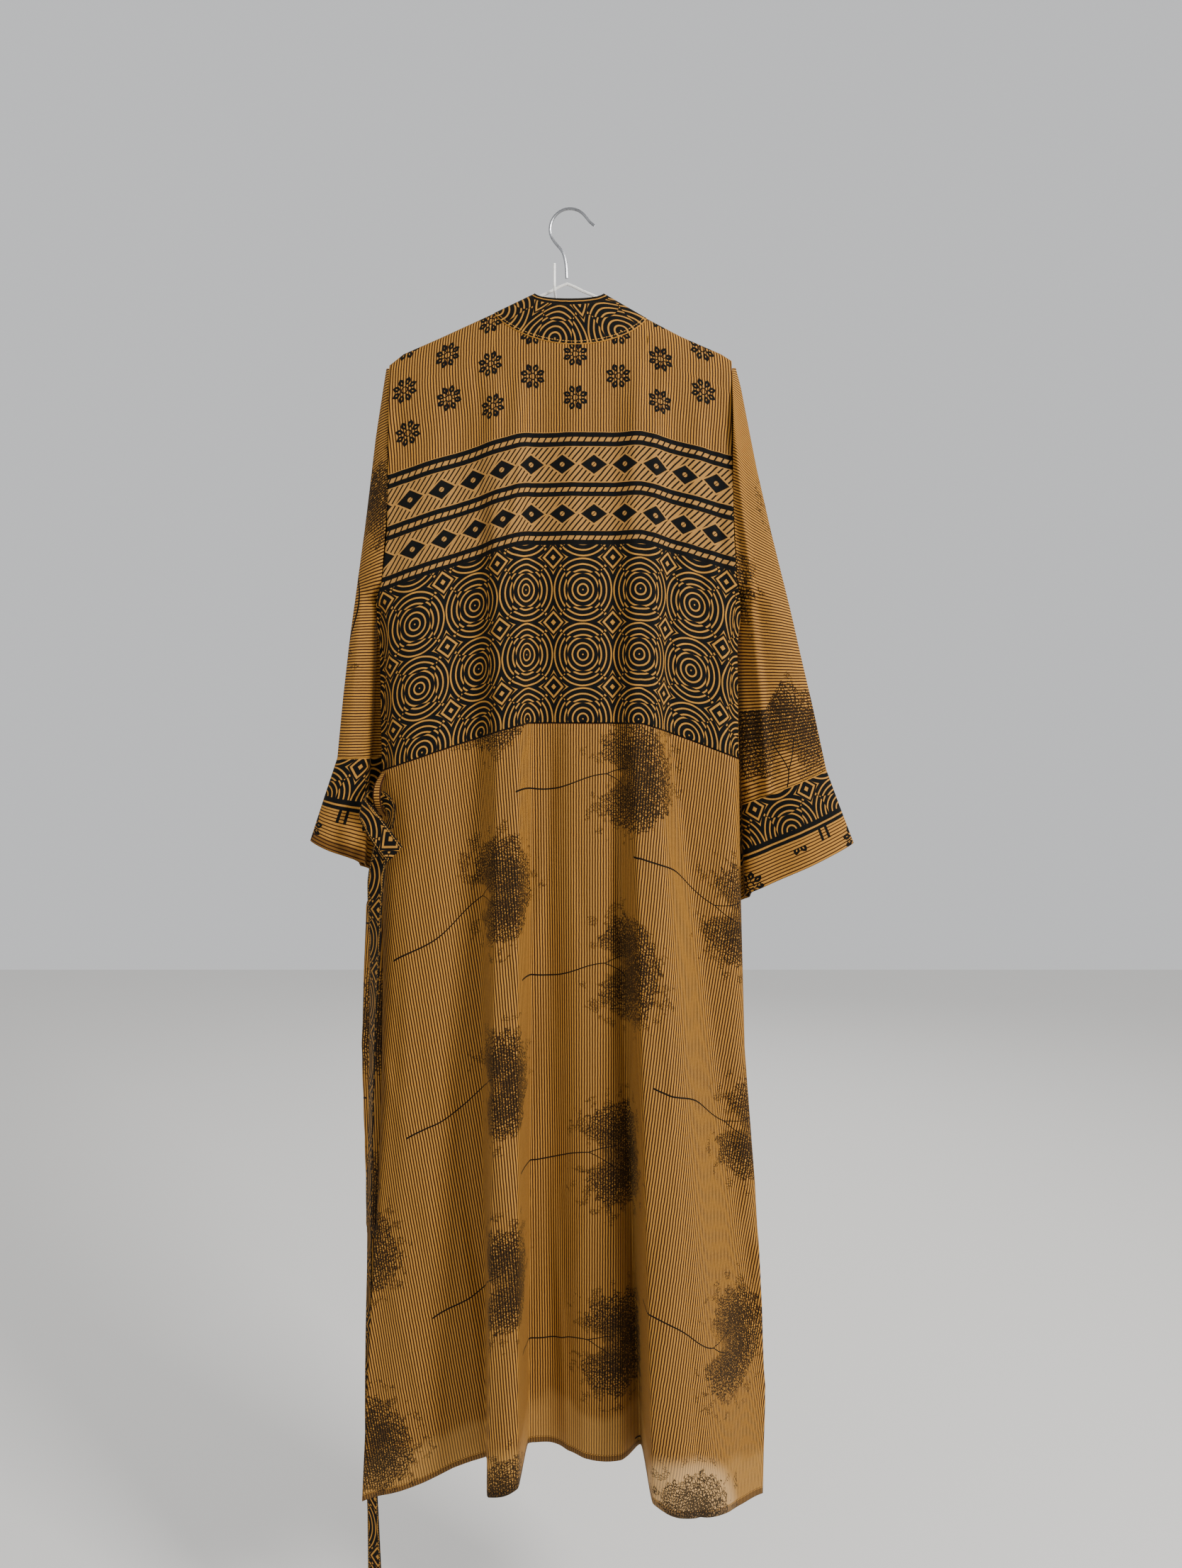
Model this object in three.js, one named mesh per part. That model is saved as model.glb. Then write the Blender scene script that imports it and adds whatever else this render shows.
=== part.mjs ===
// A long kimono robe that hangs by a wire hanger from a small wall hook, seen from its back.
// Millimetres. The origin is where the hook's shank enters the wall. +Z is up, +Y goes into the
// wall, and the robe's back faces -Y. "Out" is the distance that a point stands off the wall.
import * as THREE from "three";

// ---- driving dimensions -----------------------------------------------------------------

const CLOTH = 1.6; // wall of a single cloth
const BAND_CLOTH = 2.4; // wall of the doubled neck and front bands
const BELT_CLOTH = 2.0;
const SEAM = 0.3; // gap between two pieces that are sewn together
const HANG_PLANE = 38; // how far out the hanger, the shoulder seams and the side seams are

const WAIST = 485; // flat distance from the neck line down to the waist seam
const HEM = 1354; // and down to the hem
const SHOULDER_ROUND = 5; // radius of the cloth where it goes over the hanger
const SHOULDER_TURN = THREE.MathUtils.degToRad(70);
const BACK_SWELL = 12; // how far the back and the fronts spread below the shoulders
const HEM_TUCK = 8; // the back comes nearer to the wall again at its hem
const SIDE_ROUND = 18; // radius of the fold along each side seam

const ARMHOLE_FOOT = -330; // height of the underarm point
const ARMHOLE_CLOSE = 30; // the side closes within this height below it
const SLIT_TOP = -1085; // both side seams are open from here to the hem

const NECK = { left: -68, right: 104, leftZ: -23, rightZ: -29, dip: 35, power: 0.7 };
const COLLAR_TOP = { left: -22, right: 55, z: -1.5, dip: 8, power: 0.5 };

// The shoulder line, over the hanger: height at each x.
const SHOULDER = [
  { x: -195, z: -86 },
  { x: -184, z: -78 },
  { x: -171, z: -68 },
  { x: -131, z: -51 },
  { x: -68, z: -23 },
  { x: -22, z: -1.5 },
  { x: 55, z: -1.5 },
  { x: 104, z: -29 },
  { x: 143, z: -49 },
  { x: 188, z: -68 },
  { x: 201, z: -76 },
  { x: 212, z: -88 },
];

// The side seams by height, how far the left front swells out past its seam, and how far the
// right front shows past the back.
const SIDES = [
  { z: -80, left: -187, right: 200, swell: 0, sliver: 0 },
  { z: -135, left: -187, right: 200, swell: 0, sliver: 0 },
  { z: -270, left: -190, right: 203, swell: 0, sliver: 0 },
  { z: -395, left: -200, right: 209, swell: 0, sliver: 0 },
  { z: -630, left: -202, right: 215, swell: 0, sliver: 0 },
  { z: -700, left: -203, right: 217, swell: 27, sliver: 0 },
  { z: -870, left: -206, right: 223, swell: 32, sliver: 0 },
  { z: -1036, left: -213, right: 237, swell: 22, sliver: 0 },
  { z: -1173, left: -222, right: 245, swell: 14, sliver: 5 },
  { z: -1300, left: -230, right: 251, swell: 7, sliver: 8 },
  { z: -1440, left: -238, right: 246, swell: 2, sliver: 10 },
];

// How far a straight thread of the cloth hangs down at each side, because the shoulders slope.
const DROP_START = { left: -30, right: 97 };
const DROPS = [
  { w: 60, left: 44, right: 24 },
  { w: 200, left: 48, right: 25 },
  { w: 300, left: 54, right: 31 },
  { w: 485, left: 56, right: 42 },
  { w: 1354, left: 76, right: 54 },
];

// The flutes of the back, each a ridge towards the viewer: middle and half width of its crest,
// the run of its left and right flank, at the waist and at the hem, and its depth at the yoke,
// the waist and the hem.
const BACK_FOLDS = [
  { at: -150, half: 12, left: 30, right: 30, hemAt: -175, hemHalf: 14, hemLeft: 40, hemRight: 40,
    yoke: 5, waist: 8, hem: 9 },
  { at: -53, half: 9, left: 28, right: 20, hemAt: -60, hemHalf: 16, hemLeft: 11, hemRight: 7,
    yoke: 11, waist: 22, hem: 82 },
  { at: 35, half: 14, left: 34, right: 34, hemAt: 60, hemHalf: 16, hemLeft: 56, hemRight: 30,
    yoke: 5, waist: 9, hem: 36 },
  { at: 101, half: 9, left: 30, right: 24, hemAt: 140, hemHalf: 22, hemLeft: 9, hemRight: 84,
    yoke: 11, waist: 22, hem: 110 },
];

// The flutes of the fronts, towards the wall.
const FRONT_FOLDS = [
  { at: -140, half: 8, left: 30, right: 30, hemAt: -150, hemHalf: 10, hemLeft: 34, hemRight: 34,
    yoke: 1, waist: 4, hem: 7 },
  { at: -50, half: 8, left: 26, right: 26, hemAt: -62, hemHalf: 10, hemLeft: 30, hemRight: 30,
    yoke: 1, waist: 4, hem: 7 },
  { at: 40, half: 8, left: 28, right: 28, hemAt: 35, hemHalf: 10, hemLeft: 34, hemRight: 34,
    yoke: 1, waist: 3, hem: 6 },
  { at: 140, half: 8, left: 30, right: 30, hemAt: 150, hemHalf: 10, hemLeft: 34, hemRight: 34,
    yoke: 1, waist: 4, hem: 7 },
];

// Where the fronts overlap, the left one is nearer to the wall.
const FRONT_LAP = 4.5;
const FRONT_EDGE = {
  left: { top: NECK.left, topZ: NECK.leftZ, waist: 58 },
  right: { top: NECK.right, topZ: NECK.rightZ, waist: -32 },
};
const FRONT_CROSS = -560; // the front edges run straight down from here

// The sleeves hang beside the body. Each row is a section, from the shoulder to the cuff's end:
// the outer fold (x, z), half the hollow inside, and the inner edge. Above the underarm the
// inner edge is the armhole. Below it the sleeve turns beside the body (turnX) and is tucked
// behind it (innerX, innerOut).
const TUCK_HALF = 3; // half the hollow of what is tucked behind the body
const SLEEVES = {
  left: {
    sign: -1,
    rows: [
      { outerX: -191, outerZ: -84, innerZ: -85, half: 3 },
      { outerX: -194, outerZ: -102, innerZ: -100, half: 8 },
      { outerX: -204, outerZ: -160, innerZ: -155, half: 13 },
      { outerX: -218, outerZ: -262, innerZ: -240, half: 14 },
      { outerX: -229, outerZ: -335, innerZ: -328, half: 12 },
      { outerX: -231, outerZ: -350, innerZ: -346, half: 10, turnX: -211, innerX: -207, innerOut: 27 },
      { outerX: -234, outerZ: -368, innerZ: -362, half: 9, turnX: -212, innerX: -207, innerOut: 12 },
      { outerX: -238, outerZ: -394, innerZ: -388, half: 8, turnX: -213, innerX: -190, innerOut: 8 },
      { outerX: -246, outerZ: -455, innerZ: -455, half: 7, turnX: -217, innerX: -176, innerOut: 8 },
      { outerX: -254, outerZ: -526, innerZ: -525, half: 6, turnX: -222, innerX: -166, innerOut: 8 },
    ],
    cuff: [
      { outerX: -254, outerZ: -526, innerZ: -525, half: 6, turnX: -222, innerX: -166, innerOut: 8 },
      { outerX: -270, outerZ: -572, innerZ: -600, half: 9, turnX: -226, innerX: -162, innerOut: 8 },
      { outerX: -287, outerZ: -622, innerZ: -690, half: 12, turnX: -230, innerX: -160, innerOut: 8 },
    ],
  },
  right: {
    sign: 1,
    rows: [
      { outerX: 205, outerZ: -83, innerZ: -85, half: 3 },
      { outerX: 211, outerZ: -104, innerZ: -100, half: 8 },
      { outerX: 230, outerZ: -196, innerZ: -170, half: 13 },
      { outerX: 248, outerZ: -270, innerZ: -245, half: 14 },
      { outerX: 268, outerZ: -345, innerZ: -328, half: 13 },
      { outerX: 272, outerZ: -361, innerZ: -346, half: 11, turnX: 216, innerX: 213, innerOut: 27 },
      { outerX: 276, outerZ: -377, innerZ: -364, half: 10, turnX: 217, innerX: 214, innerOut: 12 },
      { outerX: 282, outerZ: -402, innerZ: -392, half: 9, turnX: 217, innerX: 200, innerOut: 8 },
      { outerX: 297, outerZ: -462, innerZ: -470, half: 9, turnX: 219, innerX: 190, innerOut: 8 },
      { outerX: 315, outerZ: -540, innerZ: -602, half: 9, turnX: 222, innerX: 186, innerOut: 8 },
    ],
    cuff: [
      { outerX: 315, outerZ: -540, innerZ: -602, half: 9, turnX: 222, innerX: 186, innerOut: 8 },
      { outerX: 331, outerZ: -582, innerZ: -660, half: 11, turnX: 224, innerX: 184, innerOut: 8 },
      { outerX: 348, outerZ: -625, innerZ: -718, half: 13, turnX: 227, innerX: 182, innerOut: 8 },
    ],
  },
};

// The belt, from its short end on the outside, over the loop, and down past the hem. The wide
// way of the belt turns as it hangs: spanX and spanOut are its half width in each direction.
const BELT = [
  { x: -182, out: 78, z: -634, spanX: 9, spanOut: 1, spanZ: 9 },
  { x: -198, out: 82, z: -610, spanX: 9, spanOut: 0, spanZ: 9 },
  { x: -212, out: 81, z: -588, spanX: 7, spanOut: 1, spanZ: 9 },
  { x: -219, out: 74, z: -578, spanX: 3, spanOut: 2, spanZ: 9 },
  { x: -215, out: 66, z: -571, spanX: 3, spanOut: 0, spanZ: 9 },
  { x: -206, out: 62, z: -571, spanX: 3, spanOut: 0, spanZ: 9 },
  { x: -196, out: 63.5, z: -573, spanX: 2, spanOut: 1, spanZ: 9 },
  { x: -187, out: 67, z: -584, spanX: 4, spanOut: 2, spanZ: 6 },
  { x: -190, out: 68, z: -601, spanX: 5, spanOut: 3, spanZ: 0 },
  { x: -199, out: 66, z: -624, spanX: 9, spanOut: 3, spanZ: 0 },
  { x: -207, out: 63, z: -668, spanX: 10, spanOut: 4, spanZ: 0 },
  { x: -209, out: 61, z: -730, spanX: 8, spanOut: 8, spanZ: 0 },
  { x: -213, out: 60, z: -830, spanX: 5, spanOut: 9, spanZ: 0 },
  { x: -217, out: 57, z: -930, spanX: 4, spanOut: 8, spanZ: 0 },
  { x: -222, out: 48, z: -1040, spanX: 3, spanOut: 5, spanZ: 0 },
  { x: -225, out: 43, z: -1140, spanX: 3, spanOut: 3, spanZ: 0 },
  { x: -228, out: 41, z: -1250, spanX: 4, spanOut: 2, spanZ: 0 },
  { x: -228, out: 40, z: -1360, spanX: 6, spanOut: 2, spanZ: 0 },
  { x: -225, out: 43, z: -1450, spanX: 7, spanOut: 3, spanZ: 0 },
  { x: -223, out: 46, z: -1560, spanX: 9, spanOut: 2, spanZ: 0 },
];

// The narrow loop that carries the belt, from its upper end to its lower one. Both ends lie on
// the back beside the seam, and it stands off between them.
const LOOP = { top: -543, foot: -592, endX: -198.2, endOut: 52, midX: -203, midOut: 72, half: 4.5 };

const WIRE = { radius: 1.75, sides: 8 };
const HANGER = {
  neck: { x: 14, z: 10 },
  left: [{ x: 0, z: 3.6 }, { x: -25, z: -8 }, { x: -66, z: -28 }, { x: -168, z: -76 }],
  right: [{ x: 28, z: 3.6 }, { x: 55, z: -8 }, { x: 104, z: -35 }, { x: 184, z: -76 }],
  endRound: 9,
  endDrop: 22,
};
// The crook: a stem that bends left, then a round hook with an outward tip.
const CROOK = { centre: { x: 17.5, z: 69.5 }, radius: 22.5, from: 195, to: 35, wire: 1.7 };
const CROOK_STEM = [{ x: 13.6, z: 16 }, { x: 12.6, z: 32 }, { x: 9, z: 45 }, { x: 0, z: 56 }];
const CROOK_TIP = [{ x: 40, z: 77.5 }, { x: 45, z: 73.5 }];
const HOOK = { radius: 1.5, reach: 47, rise: 29, bend: 5 };

const COLOURS = { cloth: 0xb98a3e, print: 0x7a5c2c, band: 0x4a3b20, coat: 0xe9e7e2, metal: 0xb9bcc0 };

// ---- small tools ------------------------------------------------------------------------

const lerp = THREE.MathUtils.lerp;
const clamp01 = (t) => Math.min(1, Math.max(0, t));
const ease = (t) => clamp01(t) ** 2 * (3 - 2 * clamp01(t));

// The value of a column of a table, between the two rows that hold the key.
function along(table, key, value, column) {
  const rising = table[table.length - 1][key] > table[0][key];
  let i = 1;
  while (i < table.length - 1 && (rising ? value > table[i][key] : value < table[i][key])) i += 1;
  const [a, b] = [table[i - 1], table[i]];
  return lerp(a[column], b[column], clamp01((value - a[key]) / (b[key] - a[key])));
}

// A point of the robe: x across, out from the wall, z up.
const place = (x, out, z) => new THREE.Vector3(x, -out, z);

function meshOf(name, positions, faces, colour, look = {}) {
  const geometry = new THREE.BufferGeometry();
  geometry.setAttribute("position", new THREE.Float32BufferAttribute(positions, 3));
  geometry.setIndex(faces);
  geometry.computeVertexNormals();
  const material = new THREE.MeshStandardMaterial({ color: colour, roughness: 0.85, ...look });
  const mesh = new THREE.Mesh(geometry, material);
  mesh.name = name;
  return mesh;
}

// A cloth wall round a grid of points: each is moved half the wall out along its normal, and
// half in. adjust(i, j, normal) may turn a normal at a seam. front says which side faces out.
function clothWall(name, grid, wall, colour, { front = 1, adjust = null } = {}) {
  const rows = grid.length;
  const columns = grid[0].length;
  const positions = [];
  const normals = grid.map((row, i) => row.map((point, j) => {
    const down = grid[Math.min(i + 1, rows - 1)][j].clone().sub(grid[Math.max(i - 1, 0)][j]);
    const across = row[Math.min(j + 1, columns - 1)].clone().sub(row[Math.max(j - 1, 0)]);
    const normal = down.cross(across).normalize().multiplyScalar(front);
    return adjust ? adjust(i, j, normal).normalize() : normal;
  }));
  for (const side of [0.5, -0.5]) {
    grid.forEach((row, i) => row.forEach((point, j) => {
      const moved = point.clone().addScaledVector(normals[i][j], side * wall);
      positions.push(moved.x, moved.y, moved.z);
    }));
  }
  const faces = [];
  const quad = (a, b, c, d) => faces.push(...(front > 0 ? [a, b, c, a, c, d] : [a, c, b, a, d, c]));
  const outer = (i, j) => i * columns + j;
  const inner = (i, j) => rows * columns + i * columns + j;
  for (let i = 0; i < rows - 1; i += 1) {
    for (let j = 0; j < columns - 1; j += 1) {
      quad(outer(i, j), outer(i + 1, j), outer(i + 1, j + 1), outer(i, j + 1));
      quad(inner(i, j), inner(i, j + 1), inner(i + 1, j + 1), inner(i + 1, j));
    }
  }
  for (let j = 0; j < columns - 1; j += 1) {
    quad(outer(0, j), outer(0, j + 1), inner(0, j + 1), inner(0, j));
    quad(outer(rows - 1, j + 1), outer(rows - 1, j), inner(rows - 1, j), inner(rows - 1, j + 1));
  }
  for (let i = 0; i < rows - 1; i += 1) {
    quad(outer(i + 1, 0), outer(i, 0), inner(i, 0), inner(i + 1, 0));
    quad(outer(i, columns - 1), outer(i + 1, columns - 1), inner(i + 1, columns - 1),
      inner(i, columns - 1));
  }
  return meshOf(name, positions, faces, colour);
}

// A wire along a smooth route.
function wireAlong(name, points, radius, colour, look, { closed = false, steps = 60 } = {}) {
  const section = new THREE.Shape();
  for (let k = 0; k < WIRE.sides; k += 1) {
    const turn = (2 * Math.PI * k) / WIRE.sides;
    const [u, v] = [radius * Math.cos(turn), radius * Math.sin(turn)];
    if (k === 0) section.moveTo(u, v);
    else section.lineTo(u, v);
  }
  section.closePath();
  const route = new THREE.CatmullRomCurve3(points, closed, "centripetal");
  const tube = new THREE.ExtrudeGeometry(section, { steps, bevelEnabled: false, extrudePath: route });
  const mesh = new THREE.Mesh(tube, new THREE.MeshStandardMaterial({ color: colour, ...look }));
  mesh.name = name;
  return mesh;
}

// ---- how the body's cloth hangs ---------------------------------------------------------

// Going down from the shoulder line, over the hanger: how far out and how far down.
function overShoulder(a) {
  const arc = SHOULDER_ROUND * SHOULDER_TURN;
  const turn = Math.min(a, arc) / SHOULDER_ROUND;
  const rest = Math.max(0, a - arc);
  const slope = Math.cos(SHOULDER_TURN);
  return {
    out: SHOULDER_ROUND * Math.sin(turn) + BACK_SWELL * (1 - Math.exp((-rest * slope) / BACK_SWELL)),
    down: SHOULDER_ROUND * (1 - Math.cos(turn)) + rest,
  };
}

// The same, for a point that is a height h below the shoulder line.
function outBelow(h) {
  const turned = SHOULDER_ROUND * (1 - Math.cos(SHOULDER_TURN));
  if (h >= turned) return overShoulder(h - turned + SHOULDER_ROUND * SHOULDER_TURN).out;
  return SHOULDER_ROUND * Math.sin(Math.acos(1 - Math.max(0, h) / SHOULDER_ROUND));
}

const shoulderZ = (x) => along(SHOULDER, "x", x, "z");

function bowl(x, { left, right, dip, power }, leftZ, rightZ) {
  const t = (2 * x - left - right) / (right - left);
  if (Math.abs(t) >= 1) return null;
  return lerp(leftZ, rightZ, (t + 1) / 2) - dip * (1 - t * t) ** power;
}
const neckSeamZ = (x) => bowl(x, NECK, NECK.leftZ, NECK.rightZ);

// How far a thread that lies at w in the flat cloth hangs below its middle, at x.
function dropAt(x, w, sides) {
  const left = sides.left;
  const right = sides.right;
  if (x < DROP_START.left) {
    return along(DROPS, "w", w, "left") * ((DROP_START.left - x) / (DROP_START.left - left)) ** 1.1;
  }
  if (x > DROP_START.right) {
    return along(DROPS, "w", w, "right") * ((x - DROP_START.right) / (right - DROP_START.right)) ** 1.1;
  }
  return 0;
}

// The two side seams of the row at w: their x, height, swell and sliver.
function sidesAt(w) {
  const leftZ = -w - along(DROPS, "w", w, "left");
  const rightZ = -w - along(DROPS, "w", w, "right");
  return {
    leftZ,
    rightZ,
    left: along(SIDES, "z", leftZ, "left"),
    right: along(SIDES, "z", rightZ, "right"),
    swell: along(SIDES, "z", leftZ, "swell"),
    sliver: along(SIDES, "z", rightZ, "sliver"),
  };
}

// 1 where the side seam is closed, 0 along the armhole and along the slit.
function closedAt(z) {
  return ease((ARMHOLE_FOOT - z) / ARMHOLE_CLOSE) * ease((z - SLIT_TOP) / ARMHOLE_CLOSE + 1);
}

function foldDepth(folds, x, w) {
  const t = clamp01((w - WAIST) / (HEM - WAIST));
  const start = ease((w - 60) / 90);
  return folds.reduce((sum, fold) => {
    const depth = w < WAIST
      ? start * lerp(fold.yoke, fold.waist, ease((w - 150) / (WAIST - 150)))
      : lerp(fold.waist, fold.hem, t);
    const at = lerp(fold.at, fold.hemAt, t);
    const half = lerp(fold.half, fold.hemHalf, t);
    const left = ease((x - at + half) / lerp(fold.left, fold.hemLeft, t) + 1);
    const right = ease((at + half - x) / lerp(fold.right, fold.hemRight, t) + 1);
    return sum + depth * left * right;
  }, 0);
}

const tuckAt = (w) => HEM_TUCK * ease((w - WAIST) / (HEM - WAIST));

function backOut(x, w, z) {
  const h = shoulderZ(x) - z;
  return HANG_PLANE + outBelow(h) - tuckAt(w) + foldDepth(BACK_FOLDS, x, w);
}

function frontOut(x, w, z, side) {
  const h = shoulderZ(x) - z;
  const inward = side === "left" ? ease((x + 150) / 70) : ease((170 - x) / 60);
  const lap = ease((h - 20) / 60) * FRONT_LAP * inward * (side === "left" ? -1 : 1);
  return HANG_PLANE - outBelow(h) + lap - foldDepth(FRONT_FOLDS, x, w);
}

// One row of a panel as a dense line from its left to its right edge, so that columns can be
// spaced evenly along the cloth. Near a closed side the line turns into the side seam's plane,
// and may swell out past it first.
const EDGE_STEPS = 16;
const ROW_STEPS = 240;
function sideTurn(side, sign, outOf, seamOut) {
  const line = [];
  for (let k = 0; k < EDGE_STEPS; k += 1) {
    const angle = (Math.PI / 2) * (k / EDGE_STEPS);
    const x = side.x + sign * SIDE_ROUND * (1 - Math.cos(angle));
    const out = lerp(outOf(x), seamOut, side.closed * (1 - Math.sin(angle)));
    line.push({ x: x - sign * side.swell * Math.sin(2 * angle), out });
  }
  return line;
}

function rowLine(left, right, outOf, seamOut) {
  const start = left.turns ? left.x + SIDE_ROUND : left.x;
  const stop = right.turns ? right.x - SIDE_ROUND : right.x;
  const line = left.turns ? sideTurn(left, 1, outOf, seamOut) : [];
  for (let k = 0; k <= ROW_STEPS; k += 1) {
    const x = lerp(start, stop, k / ROW_STEPS);
    line.push({ x, out: outOf(x) });
  }
  if (right.turns) line.push(...sideTurn(right, -1, outOf, seamOut).reverse());
  line[0].s = 0;
  for (let k = 1; k < line.length; k += 1) {
    line[k].s = line[k - 1].s + Math.hypot(line[k].x - line[k - 1].x, line[k].out - line[k - 1].out);
  }
  return { line, length: line[line.length - 1].s };
}

function onLine({ line, length }, part) {
  const s = clamp01(part) * length;
  let k = 1;
  while (k < line.length - 1 && line[k].s < s) k += 1;
  const [a, b] = [line[k - 1], line[k]];
  const t = clamp01((s - a.s) / Math.max(1e-9, b.s - a.s));
  return { x: lerp(a.x, b.x, t), out: lerp(a.out, b.out, t) };
}

// ---- the back ---------------------------------------------------------------------------

function backPoint(part, w) {
  const sides = sidesAt(w);
  const heightAt = (x) => -w - dropAt(x, w, sides);
  const left = { x: sides.left, turns: true, closed: closedAt(sides.leftZ), swell: 0 };
  const right = { x: sides.right, turns: true, closed: closedAt(sides.rightZ), swell: 0 };
  const outOf = (x) => backOut(x, w, heightAt(x));
  const { x, out } = onLine(rowLine(left, right, outOf, HANG_PLANE + SEAM / 2), part);
  return { x, out, z: heightAt(x) };
}

// The columns of the upper back, by their x at the top. Those below the collar lie as the
// collar's own do.
const SHOULDER_COLUMNS = 9;
const NECK_COLUMNS = 20;
const neckShare = (k) => (1 - Math.cos((Math.PI * k) / NECK_COLUMNS)) / 2;

function backTops() {
  const { left, right } = sidesAt(TOP_W);
  const tops = [];
  for (let k = 0; k < SHOULDER_COLUMNS; k += 1) {
    const x = lerp(left, NECK.left, k / SHOULDER_COLUMNS);
    tops.push({ x, z: shoulderZ(x), open: false });
  }
  for (let k = 0; k <= NECK_COLUMNS; k += 1) {
    const x = lerp(NECK.left, NECK.right, neckShare(k));
    const neck = neckSeamZ(x);
    tops.push({ x, z: neck === null ? shoulderZ(x) : neck - SEAM / 2, open: neck !== null });
  }
  for (let k = SHOULDER_COLUMNS - 1; k >= 0; k -= 1) {
    const x = lerp(right, NECK.right, k / SHOULDER_COLUMNS);
    tops.push({ x, z: shoulderZ(x), open: false });
  }
  return tops.map((top) => ({ ...top, part: (top.x - left) / (right - left) }));
}

const TOP_W = 80; // the flat depth at which the top edge's columns are laid out
const TOP_ROWS = [0, 2.5, 6, 16, 40];
const UPPER_ROWS = 8;
const LOWER_ROWS = 16;
const LOWER_COLUMNS = 44;

function topRow(top, a) {
  if (top.open) {
    const z = top.z - a;
    return place(top.x, backOut(top.x, -z - dropAt(top.x, TOP_W, sidesAt(TOP_W)), z), z);
  }
  const step = overShoulder(a);
  return place(top.x, HANG_PLANE + SEAM / 2 + step.out, top.z - step.down);
}

function upperRow(top, t) {
  const startW = -top.z - dropAt(top.x, TOP_W, sidesAt(TOP_W)) + TOP_ROWS[TOP_ROWS.length - 1];
  const w = lerp(startW, WAIST - SEAM / 2, t);
  const point = backPoint(top.part, w);
  const settled = ease(t * 3);
  const x = lerp(top.x, point.x, settled);
  const z = -w - dropAt(x, w, sidesAt(w));
  return place(x, lerp(backOut(x, w, z), point.out, settled), z);
}

function upperBackGrid(tops) {
  const grid = TOP_ROWS.map((a) => tops.map((top) => topRow(top, a)));
  for (let i = 1; i <= UPPER_ROWS; i += 1) {
    grid.push(tops.map((top) => upperRow(top, i / UPPER_ROWS)));
  }
  return grid;
}

function lowerBackGrid() {
  const grid = [];
  for (let i = 0; i <= LOWER_ROWS; i += 1) {
    const w = lerp(WAIST + SEAM / 2, HEM, i / LOWER_ROWS);
    const row = [];
    for (let j = 0; j <= LOWER_COLUMNS; j += 1) {
      const point = backPoint(j / LOWER_COLUMNS, w);
      row.push(place(point.x, point.out, point.z));
    }
    grid.push(row);
  }
  return grid;
}

// At a closed side seam the end face lies flat against its neighbour's.
function squareSides(grid, columns) {
  return (i, j, normal) => {
    const edge = columns[j];
    if (!edge) return normal;
    const point = grid[i][j];
    const closed = closedAt(point.z) * (edge.loose ? 1 - clamp01(edge.loose(point.z) / 8) : 1);
    return normal.lerp(new THREE.Vector3(edge.sign, 0, 0), ease(closed));
  };
}

function backUpper() {
  const tops = backTops();
  const grid = upperBackGrid(tops);
  const sides = squareSides(grid, { 0: { sign: -1 }, [tops.length - 1]: { sign: 1 } });
  const adjust = (i, j, normal) => (i === 0 && !tops[j].open ? normal.setY(0) : sides(i, j, normal));
  return clothWall("back_upper", grid, CLOTH, COLOURS.print, { adjust });
}

function backLower() {
  const grid = lowerBackGrid();
  const adjust = squareSides(grid, { 0: { sign: -1 }, [LOWER_COLUMNS]: { sign: 1 } });
  return clothWall("back_lower", grid, CLOTH, COLOURS.cloth, { adjust });
}

// ---- the fronts and their bands ---------------------------------------------------------

// The seam between a front and its band, by height.
function frontSeamX(z, side) {
  const edge = FRONT_EDGE[side];
  const t = clamp01((edge.topZ - z) / (edge.topZ - FRONT_CROSS));
  return lerp(edge.top, edge.waist, 1 - (1 - t) ** 1.5);
}

const FRONT_COLUMNS = 14;
const FRONT_ROWS = 20;
const BAND_COLUMNS = 3;
const topDown = overShoulder(TOP_ROWS[TOP_ROWS.length - 1]).down;

// The height of a column of a front or its band, t of the way down from its top rows to the hem.
const columnZ = (topZ, hemX, t) =>
  lerp(topZ - topDown, -HEM - dropAt(hemX, HEM, sidesAt(HEM)), t);

function frontGrid(side) {
  const sign = side === "left" ? -1 : 1;
  const topSide = sidesAt(TOP_W)[side];
  const hemSide = sidesAt(HEM)[side];
  const gap = (sign * SEAM) / 2;
  const topXAt = (part) => lerp(topSide, FRONT_EDGE[side].top + gap, part);
  const hemXAt = (part) => lerp(hemSide, FRONT_EDGE[side].waist + gap, part);
  const grid = TOP_ROWS.map((a) => {
    const { down } = overShoulder(a);
    return evenParts(FRONT_COLUMNS).map((part) => {
      const z = shoulderZ(topXAt(part)) - down;
      const x = lerp(topSide, frontSeamX(z, side) + gap, part);
      return place(x, HANG_PLANE - SEAM / 2 - outBelow(shoulderZ(x) - z), z);
    });
  });
  for (let i = 1; i <= FRONT_ROWS; i += 1) {
    const t = i / FRONT_ROWS;
    const heightOf = (part) => columnZ(shoulderZ(topXAt(part)), hemXAt(part), t);
    const sideX = along(SIDES, "z", heightOf(0), side);
    const seamX = frontSeamX(heightOf(1), side) + gap;
    const heightAt = (x) => heightOf(clamp01((x - sideX) / (seamX - sideX)));
    const swell = along(SIDES, "z", heightOf(0), side === "left" ? "swell" : "sliver");
    const outer = { x: sideX, turns: true, closed: closedAt(heightOf(0)), swell };
    const inner = { x: seamX, turns: false };
    const seamOut = HANG_PLANE - SEAM / 2 - CLOTH * 0.55 * clamp01(swell / 8);
    const outOf = (x) => frontOut(x, -heightOf(1), heightAt(x), side);
    const row = sign < 0
      ? rowLine(outer, inner, outOf, seamOut)
      : rowLine(inner, outer, outOf, seamOut);
    grid.push(evenParts(FRONT_COLUMNS).map((part) => {
      const { x, out } = onLine(row, sign < 0 ? part : 1 - part);
      return place(x, out, heightAt(x));
    }));
  }
  return grid;
}

const evenParts = (count) => Array.from({ length: count + 1 }, (_, k) => k / count);

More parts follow.
